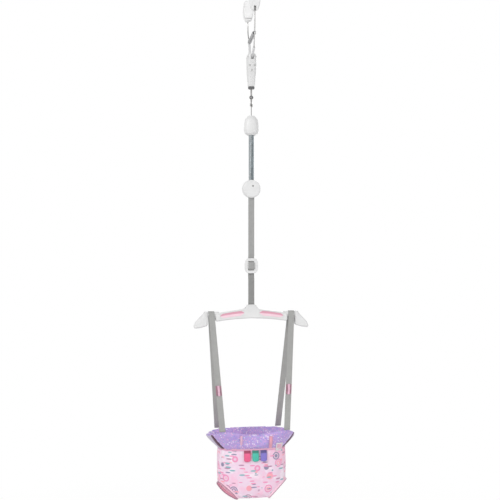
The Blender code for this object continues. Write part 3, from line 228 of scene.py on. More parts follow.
def woven(name, colour, pitch, edge, width=STRAP_WIDTH, rear_shade=1.0, gloss=0.55, painted_shadow_top=0.0, paint=None):
    """Webbing or ribbon, with cloth UVs: ribs across it, a twill lean and bound edges.

    pitch is from rib to rib, painted_shadow_top is the length at its top that is darkened as painted
    shadow, rear_shade darkens what lies behind the middle as painted shade, and paint(look, colour) adds a
    print.
    """
    look = Look(name, gloss)
    across, along = look.parts(look.uv())[:2]
    lean = look.off(look.math("FRACT", look.times(across, 4 / width)), 0.5)
    row = look.math("ADD", along, look.times(lean, pitch * 2.2))
    rib, end = look.wave(row, pitch), look.wave(across, pitch * 0.9)
    height = look.math("ADD", look.span(rib, -1, 1), look.times(look.span(end, -1, 1), 0.45))
    dark = shaded(colour, 0.62)
    tint = look.mix(look.span(look.noise(60, 3), 0.3, 0.7, 0.0, 0.22), colour, dark)
    tint = look.mix(look.span(height, 0.0, 1.2, 0.45, 0.0), tint, dark)
    if edge:
        bound = look.span(look.math("ABSOLUTE", across), width / 2 - edge, width / 2 - edge * 0.8)
        tint = look.mix(look.times(bound, 0.35), tint, dark)
    # Painted shadow: the top of the ribbon is darker, where the band above it shades it.
    if painted_shadow_top:
        tint = look.mix(look.span(along, painted_shadow_top * 0.7, painted_shadow_top, 0.85, 0.0), tint, shaded(colour, 0.28))
    if rear_shade < 1:
        # Painted shade: the runs behind the middle are darker.
        depth = look.span(look.parts(look.place)[1], -0.012, 0.012)
        tint = look.mix(look.times(depth, 1 - rear_shade), tint, shaded(colour, 0.45))
    if paint:
        tint = paint(look, tint)
    look.set(look.shader, Base_Color=tint, Roughness=look.span(height, 0, 1.4, gloss + 0.12, gloss - 0.1),
             Sheen_Weight=0.25, Sheen_Roughness=0.5)
    look.bump(height, 0.00022, 0.8)
    return look.material


def cloth(name, colour, paint=None, thread=0.0009, painted_glow=0.0):
    """Sewn fabric: a fine weave, soft puckers and faint colour variation.

    paint(look, colour) adds a print; painted_glow is painted light: a weak emission that stands in for the
    light thin cloth lets through.
    """
    look = Look(name, 0.8)
    across, along = look.parts(look.uv())[:2]
    weave = look.span(look.times(look.wave(across, thread), look.wave(along, thread)), -1, 1)
    tint = look.mix(look.span(look.noise(45, 4), 0.3, 0.7, 0.0, 0.35), colour, shaded(colour, 0.88))
    if paint:
        tint = paint(look, tint)
    tint = look.mix(look.span(weave, 0, 1, 0.14, 0.0), tint, shaded(colour, 0.6))
    look.set(look.shader, Base_Color=tint, Roughness=look.span(weave, 0, 1, 0.9, 0.74),
             Sheen_Weight=0.3, Sheen_Roughness=0.55)
    # Painted light: a weak glow in the cloth's own colour, standing in for the light that thin cloth lets
    # through.
    if painted_glow:
        look.set(look.shader, Emission_Color=tint, Emission_Strength=painted_glow)
    pucker = look.noise(210, 3)
    height = look.math("ADD", look.times(weave, 0.35), look.times(pucker, 0.9))
    look.bump(height, 0.0006, 0.55)
    return look.material


def motif(look, tint, scale, colour, inner, outer, pick, shift, ring=0.0, squash=1.0):
    """Prints one spot, ring or dash in each chosen cell of a jittered grid over the cloth's UVs.

    scale is the number of cells to a metre. The mark's edge fades from inner to outer, pick spans
    the chances that get one, ring is the radius of its hole, and squash makes it a dash.
    """
    cells = look.node("ShaderNodeTexVoronoi")
    place = look.mapped(look.uv(), Location=shift, Rotation=(0, 0, shift[2]), Scale=(1, squash, 1))
    look.set(cells, Vector=place, Scale=scale, Randomness=0.55)
    chance = look.parts(cells.outputs["Color"])[0]
    chosen = look.times(look.math("GREATER_THAN", chance, pick[0]), look.math("LESS_THAN", chance, pick[1]))
    distance = cells.outputs["Distance"]
    filled = look.span(distance, inner, outer, 1.0, 0.0)
    if ring:
        filled = look.times(filled, look.span(distance, ring * 0.8, ring, 0.0, 1.0))
    return look.mix(look.times(filled, chosen), tint, colour)


def bag_print(look, tint):
    """Double rings, spots and dashes in pinks, blue-grey and teal on pale pink."""
    rose, coral, slate, teal, mauve = ((0.86, 0.28, 0.50), (0.95, 0.38, 0.46), (0.26, 0.25, 0.38),
                                       (0.22, 0.46, 0.50), (0.48, 0.24, 0.38))
    scale, shift = 28, (0.3, 0.1, 0.0)
    tint = look.mix(look.span(look.noise(26, 2), 0.45, 0.62, 0.0, 0.6), tint, (0.94, 0.50, 0.68))
    pale = look.span(look.noise(33, 2, stretch=(1, 1, 1.3)), 0.55, 0.68, 0.0, 0.6)
    tint = look.mix(pale, tint, (0.96, 0.90, 0.95))
    for colour, inside, pick in (
            (slate, slate, (0.0, 0.36)), (rose, coral, (0.36, 0.70)), (mauve, mauve, (0.70, 0.86))):
        tint = motif(look, tint, scale, colour, 0.36, 0.39, pick, shift, ring=0.30)
        tint = motif(look, tint, scale, inside, 0.19, 0.22, pick, shift, ring=0.12)
    tint = motif(look, tint, scale, coral, 0.30, 0.34, (0.86, 1.0), shift)
    for scale, colour, pick, shift, squash in (
            (21, mauve, (0.10, 0.52), (0.15, 0.8, 0.1), 4.2),
            (24, rose, (0.35, 0.85), (0.45, 0.2, -0.2), 4.0),
            (22, slate, (0.50, 0.85), (0.75, 0.5, 1.5), 4.6),
            (25, coral, (0.10, 0.50), (0.25, 0.4, 0.3), 3.6),
            (23, teal, (0.30, 0.56), (0.9, 0.6, 1.57), 3.6)):
        tint = motif(look, tint, scale, colour, 0.21, 0.235, pick, shift, squash=squash)
    tint = motif(look, tint, 52, coral, 0.20, 0.24, (0.2, 0.55), (0.7, 0.4, 0.3))
    return motif(look, tint, 60, teal, 0.16, 0.20, (0.5, 0.75), (0.2, 0.9, 0.8))


def binding_edge(look, tint):
    """The leg bindings' plum fold, painted as a shade line, and the pale pink where they meet the bag."""
    round_it = look.parts(look.uv())[0]
    tint = look.mix(look.span(look.off(round_it, 0.0124), 0.0070, 0.0095), tint, (0.93, 0.62, 0.74))
    # Painted shade: a thin plum line along the binding's fold.
    fold_shade = look.span(look.off(round_it, 0.0064), 0.0036, 0.0050, 0.85, 0.0)
    return look.mix(fold_shade, tint, (0.36, 0.17, 0.26))


def band_print(look, tint):
    """Small speckles in blue, pink and white over lavender."""
    tint = look.mix(look.span(look.noise(60, 2), 0.4, 0.65, 0.0, 0.45), tint, (0.36, 0.24, 0.62))
    for scale, colour, pick, shift in (
            (170, (0.28, 0.30, 0.72), (0.15, 0.60), (0.1, 0.2, 0.4)),
            (190, (0.80, 0.48, 0.72), (0.30, 0.72), (0.5, 0.7, 1.1)),
            (150, (0.78, 0.72, 0.90), (0.45, 0.72), (0.9, 0.3, 0.1)),
            (210, (0.34, 0.52, 0.66), (0.70, 0.86), (0.4, 0.8, 0.6))):
        tint = motif(look, tint, scale, colour, 0.30, 0.42, pick, shift)
    return tint


def label_print(look, tint):
    """A pink middle inside the label's white border."""
    across, down = look.parts(look.uv())[:2]
    inside = look.times(look.math("LESS_THAN", look.math("ABSOLUTE", across), 0.0080),
                        look.math("LESS_THAN", look.off(down, LABEL_HEIGHT / 2), 0.0095))
    return look.mix(inside, tint, (0.80, 0.42, 0.56))


def inlay_look():
    """Soft strips, dusty pink above and pale pink below.

    They follow the spreader's bow, and their ends taper into its white.
    """
    look = Look("two_tone_pink", 0.55)
    below_zero, bow, inner_end, outer_end = 1.0244, 0.932, 0.0255, 0.1060
    x, _, z = look.parts(look.place)
    across = look.math("ABSOLUTE", x)
    high = look.math("ADD", look.math("ADD", z, below_zero), look.times(look.times(x, x), bow))
    tint = look.mix(look.span(high, -0.0016, 0.0012), (0.91, 0.66, 0.74), (0.70, 0.33, 0.43))
    ends = look.math("MINIMUM", look.math("SUBTRACT", across, inner_end),
                     look.math("SUBTRACT", outer_end, across))
    taper = look.math("ADD", look.times(ends, 0.62), 0.0006)
    edge = look.span(look.math("SUBTRACT", look.off(high, 0.0008), taper), -0.0004, 0.0008)
    tint = look.mix(edge, tint, WHITE)
    cloudy = look.span(look.noise(80, 3), 0.3, 0.7, 0.0, 0.12)
    look.set(look.shader, Base_Color=look.mix(cloudy, tint, (0.6, 0.3, 0.4)),
             Roughness=look.span(cloudy, 0, 1, 0.5, 0.7))
    look.bump(look.noise(1800, 2), 0.00008, 0.5, 0.0004)
    return look.material


def plain(name):
    """A name without the number that Blender adds to the second of its kind."""
    return name.split(".")[0]


looks = {plain(material.name): material for material in (
    moulded("white_plastic", WHITE),
    # jaw_plastic and housing_plastic are the white plastic made lighter and darker, as painted light and
    # painted shade.
    moulded("jaw_plastic", (0.79, 0.79, 0.79)),
    moulded("housing_plastic", (0.69, 0.69, 0.69)),
    moulded("grey_plastic", (0.66, 0.66, 0.665), 0.45),
    moulded("black_plastic", (0.11, 0.11, 0.115), 0.5),
    # The rubber's dark line at this height is painted shade across the jaw pads.
    moulded("grey_rubber", (0.86, 0.86, 0.86), 0.8, 0.0005, 0.0001, 0.12, shadow_line_height=-0.0280),
    metal("zinc", (0.36, 0.355, 0.35)),
    metal("pale_zinc", (0.68, 0.68, 0.67), 0.35),
    metal("spring_steel", (0.30, 0.345, 0.365), 0.25),
    metal("black_steel", (0.45, 0.45, 0.455), 0.42),
    woven("grey_webbing", (0.38, 0.38, 0.375), 0.0013, 0.0012),
    woven("loop_webbing", (0.28, 0.28, 0.275), 0.0013, 0.0012),
    woven("seat_webbing", (0.395, 0.395, 0.385), 0.0013, 0.0012, rear_shade=0.95),
    cloth("bag_fabric", (0.885, 0.675, 0.82), bag_print),
    cloth("bag_lining", (0.93, 0.67, 0.75), painted_glow=0.12),
    cloth("band_fabric", (0.53, 0.37, 0.75), band_print),
    cloth("band_lining", (0.52, 0.46, 0.60)),
    cloth("band_edge", (0.13, 0.06, 0.10), thread=0.0007),
    cloth("binding_fabric", (0.92, 0.44, 0.55), binding_edge, thread=0.0007),
    cloth("seam_fabric", (0.85, 0.40, 0.60), thread=0.0006),
    *(woven(name, colour, 0.0008, 0.001, width, gloss=0.45) for name, colour, width in (
        ("pink_ribbon", (0.90, 0.56, 0.70), 0.008),
        ("coral_ribbon", (0.92, 0.42, 0.53), 0.010),
        ("orchid_ribbon", (0.91, 0.54, 0.76), 0.008))),
    woven("mauve_ribbon", (0.42, 0.22, 0.28), 0.0008, 0.001, 0.019, gloss=0.6),
    woven("white_ribbon", (0.86, 0.84, 0.85), 0.0006, 0.0, 0.023, gloss=0.5),
    woven("label_ribbon", (0.88, 0.86, 0.87), 0.0006, 0.0, 0.023, gloss=0.5, paint=label_print),
    *(woven(name, colour, 0.0009, 0.001, 0.021, gloss=0.38, painted_shadow_top=0.011) for name, colour in (
        ("rose_ribbon", (0.92, 0.12, 0.29)),
        ("teal_ribbon", (0.065, 0.58, 0.45)),
        ("violet_ribbon", (0.25, 0.20, 0.67)))),
)}
looks["pink_plastic"] = inlay_look()
# Painted light and shade: the screws and pins take a paler zinc than their own, the jaws a lighter copy of
# the white plastic and the housing a darker one.
own_looks = {f"clamp_housing_screw_{number}": "pale_zinc" for number in (1, 2, 3)}
for end in ("front", "rear"):
    own_looks |= {f"{end}_jaw": "jaw_plastic", f"clamp_housing_{end}": "housing_plastic",
                  f"{end}_jaw_pin": "pale_zinc", f"{end}_pivot_pin": "pale_zinc"}
for node in nodes.values():
    for place, slot in enumerate(node.data.materials):
        if slot and plain(slot.name) in looks:
            node.data.materials[place] = looks[own_looks.get(plain(node.name), plain(slot.name))]


# Shapes

WIRE_SIDES = 8


def add_mesh(name, points, faces, corners, look):
    """A mesh with UVs in metres, one pair for each face corner, in the order of the faces."""
    mesh = bpy.data.meshes.new(name)
    mesh.from_pydata([tuple(p) for p in points], [], faces)
    layer = mesh.uv_layers.new(name="cloth")
    layer.data.foreach_set("uv", [value for face in corners for pair in face for value in pair])
    mesh.materials.append(looks[look])
    mesh.polygons.foreach_set("use_smooth", [True] * len(mesh.polygons))
    obj = bpy.data.objects.new(name, mesh)
    model.objects.link(obj)
    return obj


def lengths(points):
    """The distance along a line of points to each of them."""
    steps = [(Vector(b) - Vector(a)).length for a, b in zip(points, points[1:])]
    return [0, *np.cumsum(steps)]


@contextmanager
def edited(obj):
    """The object's mesh, open for editing and written back at the end."""
    bm = bmesh.new()
    bm.from_mesh(obj.data)
    yield bm
    bm.to_mesh(obj.data)
    bm.free()


def grid(name, rows, look, around=False, tops=False, u=None, v=None):
    """Faces between rows of points: around closes each row, and tops caps the first and the last one."""
    columns = len(rows[0])
    middle = list(rows[len(rows) // 2])
    u = u or lengths([*middle, middle[0]] if around else middle)
    v = v or lengths([row[columns // 4] for row in rows])
    faces, corners = [], []
    for i in range(len(rows) - 1):
        for j in range(columns if around else columns - 1):
            k = (j + 1) % columns
            faces.append((i * columns + j, i * columns + k, (i + 1) * columns + k, (i + 1) * columns + j))
            corners.append(((u[j], v[i]), (u[j + 1], v[i]), (u[j + 1], v[i + 1]), (u[j], v[i + 1])))
    if tops:
        for i, order in ((0, range(columns)[::-1]), (len(rows) - 1, range(columns))):
            faces.append(tuple(i * columns + j for j in order))
            corners.append(tuple((u[j], v[i]) for j in order))
    return add_mesh(name, [p for row in rows for p in row], faces, corners, look)


def outward(obj):
    """Turns the faces of a closed mesh to face out."""
    with edited(obj) as bm:
        bmesh.ops.recalc_face_normals(bm, faces=bm.faces)
    return obj


def applied(obj):
    """Bakes the modifiers of an object into its mesh."""
    bpy.context.view_layer.update()
    made = bpy.data.meshes.new_from_object(obj.evaluated_get(bpy.context.evaluated_depsgraph_get()))
    obj.modifiers.clear()
    obj.data = made


def thickened(obj, thickness, offset, inner=0):
    """Gives a sheet its thickness; inner is the material slot of its inside and rim."""
    solid = obj.modifiers.new("thickness", "SOLIDIFY")
    solid.thickness, solid.offset = thickness, offset
    solid.material_offset = solid.material_offset_rim = inner
    applied(obj)


def dense(points, step):
    """The same line with points no further apart than step."""
    line = [Vector(points[0])]
    for a, b in zip(points, points[1:]):
        a, b = Vector(a), Vector(b)
        count = max(1, math.ceil((b - a).length / step))
        line += [a.lerp(b, (i + 1) / count) for i in range(count)]
    return line


def rounded(points, per_span, cyclic=False):
    """A smooth line through the points."""
    points = [Vector(p) for p in points]
    count = len(points)
    line = []
    for i in range(count if cyclic else count - 1):
        before = points[(i - 1) % count] if cyclic or i else points[0]
        after = points[(i + 2) % count] if cyclic or i + 2 < count else points[-1]
        a, b = points[i], points[(i + 1) % count]
        for k in range(per_span):
            t = k / per_span
            line.append(0.5 * ((2 * a) + (b - before) * t + (2 * before - 5 * a + 4 * b - after) * t ** 2
                               + (3 * a - before - 3 * b + after) * t ** 3))
    return line if cyclic else [*line, points[-1]]


def circle(count):
    """This many even turns of a full circle, in radians."""
    return [2 * math.pi * i / count for i in range(count)]


def arc(centre, radius, start, end, count):
    """Points on an arc between two angles in degrees."""
    turns = [math.radians(start + (end - start) * i / (count - 1)) for i in range(count)]
    return [(centre[0] + radius * math.cos(a), centre[1] + radius * math.sin(a)) for a in turns]


def tube(name, points, radius, look, cyclic=False):
    """A round wire swept along points without twist."""
    count = len(points)
    section = [(radius * math.cos(a), radius * math.sin(a)) for a in circle(WIRE_SIDES)]
    across = None
    rows = []
    for i, p in enumerate(points):
        before = points[i - 1] if i or cyclic else p
        after = points[(i + 1) % count] if i + 1 < count or cyclic else p
        along = (after - before).normalized()
        if across is None:
            across = along.orthogonal().normalized()
        across = (across - along * across.dot(along)).normalized()
        out = along.cross(across)
        rows.append([p + across * a + out * b for a, b in section])
    if cyclic:
        rows.append(rows[0])
    return outward(grid(name, rows, look, True, not cyclic))


def strap(name, path, look, width=STRAP_WIDTH, thickness=STRAP_THICKNESS, x=0.0, slope=0.0, top=0.0,
          step=0.006):
    """Flat webbing along a (y, z) path, with rounded edges. Slope leans it sideways below top."""
    line = dense([(0, y, z) for y, z in path], step)
    half, round_off = width / 2, thickness / 2
    spots = [(-half, 0), (-half + round_off * 0.4, 0.8), (-half + round_off * 1.3, 1)]
    spots += [(half * share, 1) for share in (-0.7, -0.35, 0, 0.35, 0.7)]
    spots += [(half - round_off * 1.3, 1), (half - round_off * 0.4, 0.8), (half, 0)]
    upper = [(a, b * thickness / 2) for a, b in spots]
    section = upper + [(a, -b) for a, b in upper[-2:0:-1]]
    rows = []
    for i, p in enumerate(line):
        along = (line[min(i + 1, len(line) - 1)] - line[max(i - 1, 0)]).normalized()
        out = Vector((0, along.z, -along.y))
        rows.append([Vector((x + a + slope * (p.z - top), 0, 0)) + p + out * b for a, b in section])
    u = [a for a, b in [*section, section[0]]]
    return outward(grid(name, rows, look, True, True, u, lengths(line)))


# Springs

def coil(top, foot, turns, per_turn, radius, start_angle):
    """A helix from the height top down to the height foot."""
    count = turns * per_turn
    angles = [start_angle + 2 * math.pi * i / per_turn for i in range(count + 1)]
    return [Vector((radius * math.cos(a), radius * math.sin(a), top + (foot - top) * i / count))
            for i, a in enumerate(angles)]


def make_main_spring():
    """The close-wound extension spring, whose ends hook round the cap's eye and the lower cap's post."""
    wire, radius, hidden = 0.0032, 0.00775, 0.010
    turns, per_turn = 42, 20
    eye_height, post, post_radius = -0.4019, (0.0035, SPRING_FOOT - 0.0215), 0.0042
    line = coil(SPRING_TOP + hidden, SPRING_FOOT - hidden, turns, per_turn, radius, 0)
    over = [(-0.0062, -0.0065), (-0.0050, -0.0030), (-0.0028, -0.0008), (0, 0), (0.0026, -0.0006),
            (0.0052, -0.0030), (0.0072, -0.0080), (0.0078, -0.0165)]
    painted_shadow_top = rounded([(x, 0, eye_height + z) for x, z in over] + [(radius, -0.0009, line[0].z + 0.0025)], 3)
    around = arc(post, post_radius + wire / 2 + CLEARANCE, 0, -200, 21)
    tail = rounded([(radius, 0.0009, line[-1].z - 0.0025), *[(x, 0, z) for x, z in around]], 1)
    spring = tube("main_spring_coils", [*painted_shadow_top, *line, *tail], wire / 2, "spring_steel")
    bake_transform(spring)
    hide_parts("main_spring")


def make_clamp_spring():
    """The dark tension spring between the clamp's arms, in two halves that meet at rest on the clamp."""
    wire, outer = 0.0020, 0.013
    turns, per_turn = 38, 16
    start, end = Vector((0, -0.0697, -0.1062)), Vector((0, 0.0432, -0.1168))
    length, radius = (end - start).length, (outer - wire) / 2
    clear, lever = 0.0033, 0.0048
    front = [(clear, 0.0025), (clear, 0.0003), (clear * 0.75, -clear * 0.72), (0, -clear),
             (-clear * 0.75, -clear * 0.72), (-clear, 0.0003), (-clear, 0.004)]
    lead = 0.0117
    line = coil(-lead, lead - length, turns, per_turn, radius, math.pi)
    painted_shadow_top = rounded([(x, 0, -y) for x, y in front] + [(-clear * 1.3, -radius * 0.3, -lead * 0.75)], 3)
    tail = rounded([(-lever, radius * 0.5, -length + lead * 0.72), (-lever, 0, -length + 0.0042),
                    (-lever, 0, -length + 0.0020), (-lever + 0.0003, 0, -length + 0.0006),
                    (-lever * 0.79, 0, -length), (lever, 0, -length)], 3)
    turn = Matrix.Translation(start) @ (start - end).to_track_quat("Z", "Y").to_matrix().to_4x4()
    points = [turn @ Vector(p) for p in [*painted_shadow_top, *line, *tail]]
    middle = len(points) // 2
    for word, part, bodies in (("front", points[:middle + 1], ("front_arm", "clamp")),
                               ("rear", points[middle:], ("clamp", "rear_arm"))):
        half = tube(f"clamp_spring_{word}_half", part, wire / 2, "black_steel")
        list(bodies)
        part[0]
        part[-1]
        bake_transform(half)
        if word == "front":
            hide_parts("clamp_spring")


make_main_spring()
make_clamp_spring()


# Webbing

# In the slider: half the depth of a bar, the webbing's middle off a bar, and on to the next layer
BAR_HALF, OFF_BAR, NEXT_LAYER = 0.0025, 0.0011, 0.0019


def make_upper_strap():
    """The single run, round the lower cap's bar and down through the slider."""
    bar, around, away = LOWER_CAP_FOOT + 0.015, 0.0031, 0.00118
    path = [(away, bar - 0.012), (away * 1.15, bar - around * 1.9),
            *reversed(arc((0, bar), around, 200, -20, 15)),
            (-away * 1.15, bar - around * 1.9), (-away, bar - 0.0136), (0, LOWER_CAP_FOOT - 0.008),
            (0.0004, (LOWER_CAP_FOOT + SLIDER_TOP) / 2), (0, SLIDER_TOP + 0.012),
            (BAR_HALF + OFF_BAR, SLIDER_TOP), *arc((BAR_HALF, SLIDER_TOP - 0.010), OFF_BAR, 0, -50, 6),
            *arc((-BAR_HALF, SLIDER_TOP - 0.018), OFF_BAR + NEXT_LAYER, 130, 180, 6),
            *arc((-BAR_HALF, SLIDER_FOOT + 0.018), OFF_BAR + NEXT_LAYER, 180, 230, 6),
            *arc((BAR_HALF, SLIDER_FOOT + 0.010), OFF_BAR, 50, 0, 6),
            (BAR_HALF + OFF_BAR, SLIDER_FOOT + 0.0006)]
    piece = strap("upper_webbing", path, "grey_webbing", step=0.004)
    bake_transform(piece)
    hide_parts("upper_strap")


def make_strap_loop():
    """The double run, round the spreader's pin and through the slider."""
    apart, around, outer = 0.00133, 0.0041, 0.0055
    top_bar, foot_bar = SLIDER_TOP - 0.018, SLIDER_FOOT + 0.018
    path = [(BAR_HALF + OFF_BAR, SLIDER_FOOT), (-apart, SLIDER_FOOT - 0.020),
            (-apart, SPREADER_TOP + 0.008), *arc((0, PIN_HEIGHT), around, 180, 360, 17),
            (apart, SPREADER_TOP + 0.008), (apart, SLIDER_FOOT - 0.020), (outer, SLIDER_FOOT),
            (outer, foot_bar - 0.0056),
            (BAR_HALF, foot_bar - OFF_BAR * 1.7), *arc((-BAR_HALF, foot_bar), OFF_BAR, -90, -180, 6),
            *arc((-BAR_HALF, top_bar), OFF_BAR, 180, 90, 6), *arc((BAR_HALF, top_bar), OFF_BAR, 90, 0, 6),
            (BAR_HALF + OFF_BAR, foot_bar + OFF_BAR)]
    piece = strap("webbing_loop", path, "loop_webbing", step=0.004)
    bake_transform(piece)
    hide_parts("strap_loop")


def make_seat_straps():
    """Each strap runs from the rim's front up round the spreader's neck and down to the rim's rear."""
    around = NECK_RADIUS + CLEARANCE + STRAP_THICKNESS / 2
    reach = RIM_STRAP_DEPTH / 2 - BAND_WALL / 2
    lean = math.degrees(math.atan(reach / (NECK_HEIGHT - RIM_HEIGHT)))
    front, rear = (-reach, RIM_HEIGHT + 0.0122), (reach, RIM_HEIGHT - 0.0048)
    path = [front, *arc((0, NECK_HEIGHT), around, 180 - lean, lean, 19), rear]
    slope = (NECK_SPACING - RIM_STRAP_SPACING) / 2 / (NECK_HEIGHT - RIM_HEIGHT)
    start, end = Vector((0, *path[1])), Vector((0, *path[0]))
    along = (end - start).normalized()
    off = Vector((0, along.z, -along.y)) * (STRAP_THICKNESS + 0.0020) / 2
    shade_strip_top, shade_strip_length, loop_top, loop_length = 0.2345, 0.031, 0.2335, 0.034
    shade_strip = [start + along * (shade_strip_top + shade_strip_length * i / 4) + off * 0.72 for i in range(5)]
    bulge = [0.0, 0.0, 0.3, 1.0, 1.4, 1.4, 1.0, 0.3, 0.0, 0.0]
    line = [start + along * (loop_top + loop_length * i / 9) + off * (1.4 + 1.6 * b)
            for i, b in enumerate(bulge)]
    for word, side in (("left", -1), ("right", 1)):
        place = {"x": side * NECK_SPACING / 2, "slope": side * slope, "top": NECK_HEIGHT}
        piece = strap(f"{word}_seat_webbing", path, "seat_webbing", **place)
        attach(piece, "seat")
        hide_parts(f"{word}_seat_strap")
        # Painted shade: a mauve strip under each toy loop stands in for the shade around it on the strap.
        patch = strap(f"{word}_strap_ring_shade_strip", [(p.y, p.z) for p in shade_strip], "mauve_ribbon",
                      0.019, 0.0009, **place)
        loop = strap(f"{word}_strap_ring_loop", [(p.y, p.z) for p in line], "pink_ribbon",
                     0.007, 0.0012, **place, step=0.002)
        for made in (patch, loop):
            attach(made, "seat")
        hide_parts(f"{word}_strap_toy_loop")


make_upper_strap()
make_strap_loop()
make_seat_straps()


# The seat

AROUND = 96
BAG_POWER = 2.5
# Shares of the bag's height down from the band, and of its width and depth there
BAG_SHARES = ((0, 0.983, 0.954), (0.10, 1.0, 0.99), (0.20, 1.008, 1.006), (0.35, 1.010, 1.010),
              (0.50, 1.006, 1.006), (0.64, 1.0, 1.0), (0.76, 0.992, 0.985), (0.86, 0.970, 0.945),
              (0.93, 0.942, 0.888), (0.975, 0.89, 0.78), (1.0, 0.815, 0.635), (1.018, 0.66, 0.46),
              (1.026, 0.44, 0.29), (1.028, 0.20, 0.13))


def superellipse(half_x, half_y, turn):
    """The point at this turn of an ellipse with squarer corners."""
    c, s = math.cos(turn), math.sin(turn)
    return (half_x * math.copysign(abs(c) ** (2 / BAG_POWER), c),
            half_y * math.copysign(abs(s) ** (2 / BAG_POWER), s))


def rim_line(grow=0.0):
    """The band's top edge: up at the front straps, down at the rear straps and the sides."""
    wide, middle = RIM_WIDTH / 2, RIM_DEPTH / 2
    side, deep = RIM_STRAP_SPACING / 2, RIM_STRAP_DEPTH / 2
    rise, rear, drop = RIM_FRONT_RISE, -RIM_REAR_DROP, -RIM_SIDE_DROP
    corners = [(wide, RIM_SIDE_SHIFT, drop), (side, deep, rear), (0, middle, 0), (-side, deep, rear),
               (-wide, RIM_SIDE_SHIFT, drop), (-side, -deep, rise), (0, -middle, 0), (side, -deep, rise)]
    line = rounded(corners, AROUND // 8, True)
    wider, deeper = 1 + 2 * grow / RIM_WIDTH, 1 + 2 * grow / RIM_DEPTH
    return [Vector((p.x * wider, p.y * deeper, RIM_HEIGHT + p.z)) for p in line]


def ring_at(down, wide, deep, grow=0.0, count=AROUND):
    """A level ring of the bag, this share of its height down from the band."""
    height = BAND_FOOT - down * (BAND_FOOT - BAG_FOOT)
    spots = [superellipse(wide * BAG_WIDTH / 2 + grow, deep * BAG_DEPTH / 2 + grow, turn)
             for turn in circle(count)]
    return [Vector((x, y, height)) for x, y in spots]


def bag_top(grow=0.0):
    """The bag's ring where it meets the band."""
    return ring_at(0, *BAG_SHARES[0][1:], grow)


def bag_front(x, z, off):
    """The point off the bag's front at this place."""
    down = (BAND_FOOT - z) / (BAND_FOOT - BAG_FOOT)
    shares, wides, deeps = zip(*BAG_SHARES)
    wide = np.interp(down, shares, wides) * BAG_WIDTH / 2
    deep = np.interp(down, shares, deeps) * BAG_DEPTH / 2
    return Vector((x, -deep * (1 - min(abs(x / wide), 0.99) ** BAG_POWER) ** (1 / BAG_POWER) - off, z))


def band_front(x, share, off):
    """The point off the band's front at this x and this share of the way down from the rim."""
    rim, foot = rim_line(), bag_top()
    front = [rim[i % AROUND].lerp(foot[i % AROUND], share) for i in range(AROUND // 2, AROUND + 1)]
    xs = [p.x for p in front]
    swell = 0.003 * math.sin(math.pi * min(share, 1))
    return Vector((x, np.interp(x, xs, [p.y for p in front]) - off - swell,
                   np.interp(x, xs, [p.z for p in front])))


def front_at(x, z, off):
    """The point off the seat's front at this height, on the band or on the bag below it."""
    if z < BAND_FOOT:
        return bag_front(x, z, off)
    low, high = 0.0, 1.0
    for _ in range(18):
        middle = (low + high) / 2
        low, high = (middle, high) if band_front(x, middle, 0).z > z else (low, middle)
    return band_front(x, low, off)


def folds(turn, down):
    """How far the bag's cloth stands out: gathers under the band and soft upright folds."""
    gathers = math.exp(-down * 9) * (math.sin(31 * turn + 1.3) + 0.6 * math.sin(47 * turn + 0.4)) * 0.0011
    waves = (math.sin(7 * turn + 0.8 + down) + 0.7 * math.sin(11 * turn + 2.1 - down)
             + 0.5 * math.sin(19 * turn + 0.5))
    soft = math.sin(math.pi * min(down, 1)) * waves * 0.0011
    from_front = (turn + math.pi / 2 + math.pi) % (2 * math.pi) - math.pi
    near_tags = math.exp(-from_front ** 2 * 5) * math.exp(-down * 4)
    return (gathers + soft) * (1 - 0.8 * near_tags) + 0.0006


def cut(obj, place, normal, fill=False):
    """Removes what lies beyond a plane, and returns the points of the cut."""
    with edited(obj) as bm:
        made = bmesh.ops.bisect_plane(bm, geom=[*bm.verts, *bm.edges, *bm.faces], plane_co=place,
                                      plane_no=normal, clear_outer=True)
        spots = [v.co.copy() for v in made["geom_cut"] if isinstance(v, bmesh.types.BMVert)]
        if fill:
            bmesh.ops.holes_fill(bm, edges=[e for e in bm.edges if e.is_boundary])
    return spots


def make_bag():
    """The sagging printed bag, and the points round the slanted leg opening at each lower corner."""
    shares = np.array(BAG_SHARES)
    order = np.arange(len(shares))
    rows, count, inset = [], 150, 0.0003
    for down in (*np.linspace(0, 1, 34), 1.009, 1.018, 1.023, 1.026, 1.0275, 1.028):
        place = np.interp(down, shares[:, 0], order)
        wide, deep = (np.interp(place, order, shares[:, k]) for k in (1, 2))
        row = []
        for turn, p in zip(circle(count), ring_at(down, wide, deep, -inset, count)):
            flat = Vector((p.x, p.y * 1.6, 0)).normalized()
            row.append(p + flat * folds(turn, down))
        rows.append(row)
    lap = lengths([*rows[12], rows[12][0]])
    fall = lengths([row[count // 8] for row in rows])
    bag = grid("seat_bag_cloth", rows, "bag_fabric", True, False, lap, [-x for x in fall])
    bag.data.materials.append(looks["bag_lining"])
    with edited(bag) as bm:
        foot = [e for e in bm.edges if e.is_boundary and e.verts[0].co.z < BAG_FOOT]
        bmesh.ops.holes_fill(bm, edges=foot)
        bmesh.ops.recalc_face_normals(bm, faces=bm.faces)
    loops = {}
    for word, side in (("left", -1), ("right", 1)):
        normal = Vector((side * math.sin(LEG_ANGLE) * math.cos(LEG_TILT), -math.sin(LEG_TILT),
                         -math.cos(LEG_ANGLE) * math.cos(LEG_TILT)))
        place = Vector((side * LEG_PLACE[0], 0, BAG_FOOT + LEG_PLACE[1])) - normal * 0.002
        spots = cut(bag, place, normal)
        middle = sum(spots, Vector()) / len(spots)
        up = normal.cross(Vector((0, 1, 0)))
        spots.sort(key=lambda p: math.atan2((p - middle).y, (p - middle).dot(up)))
        loops[word] = (spots, normal)
    thickened(bag, 0.0022, -1, 1)
    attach(bag, "seat")
    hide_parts("seat_bag")
    return bag, loops


def even(points, count):
    """The same closed line with this many evenly spaced points."""
    closed = [*points, points[0]]
    places = lengths(closed)
    wanted = np.linspace(0, places[-1], count, endpoint=False)
    return [Vector(tuple(np.interp(w, places, [p[k] for p in closed]) for k in range(3))) for w in wanted]


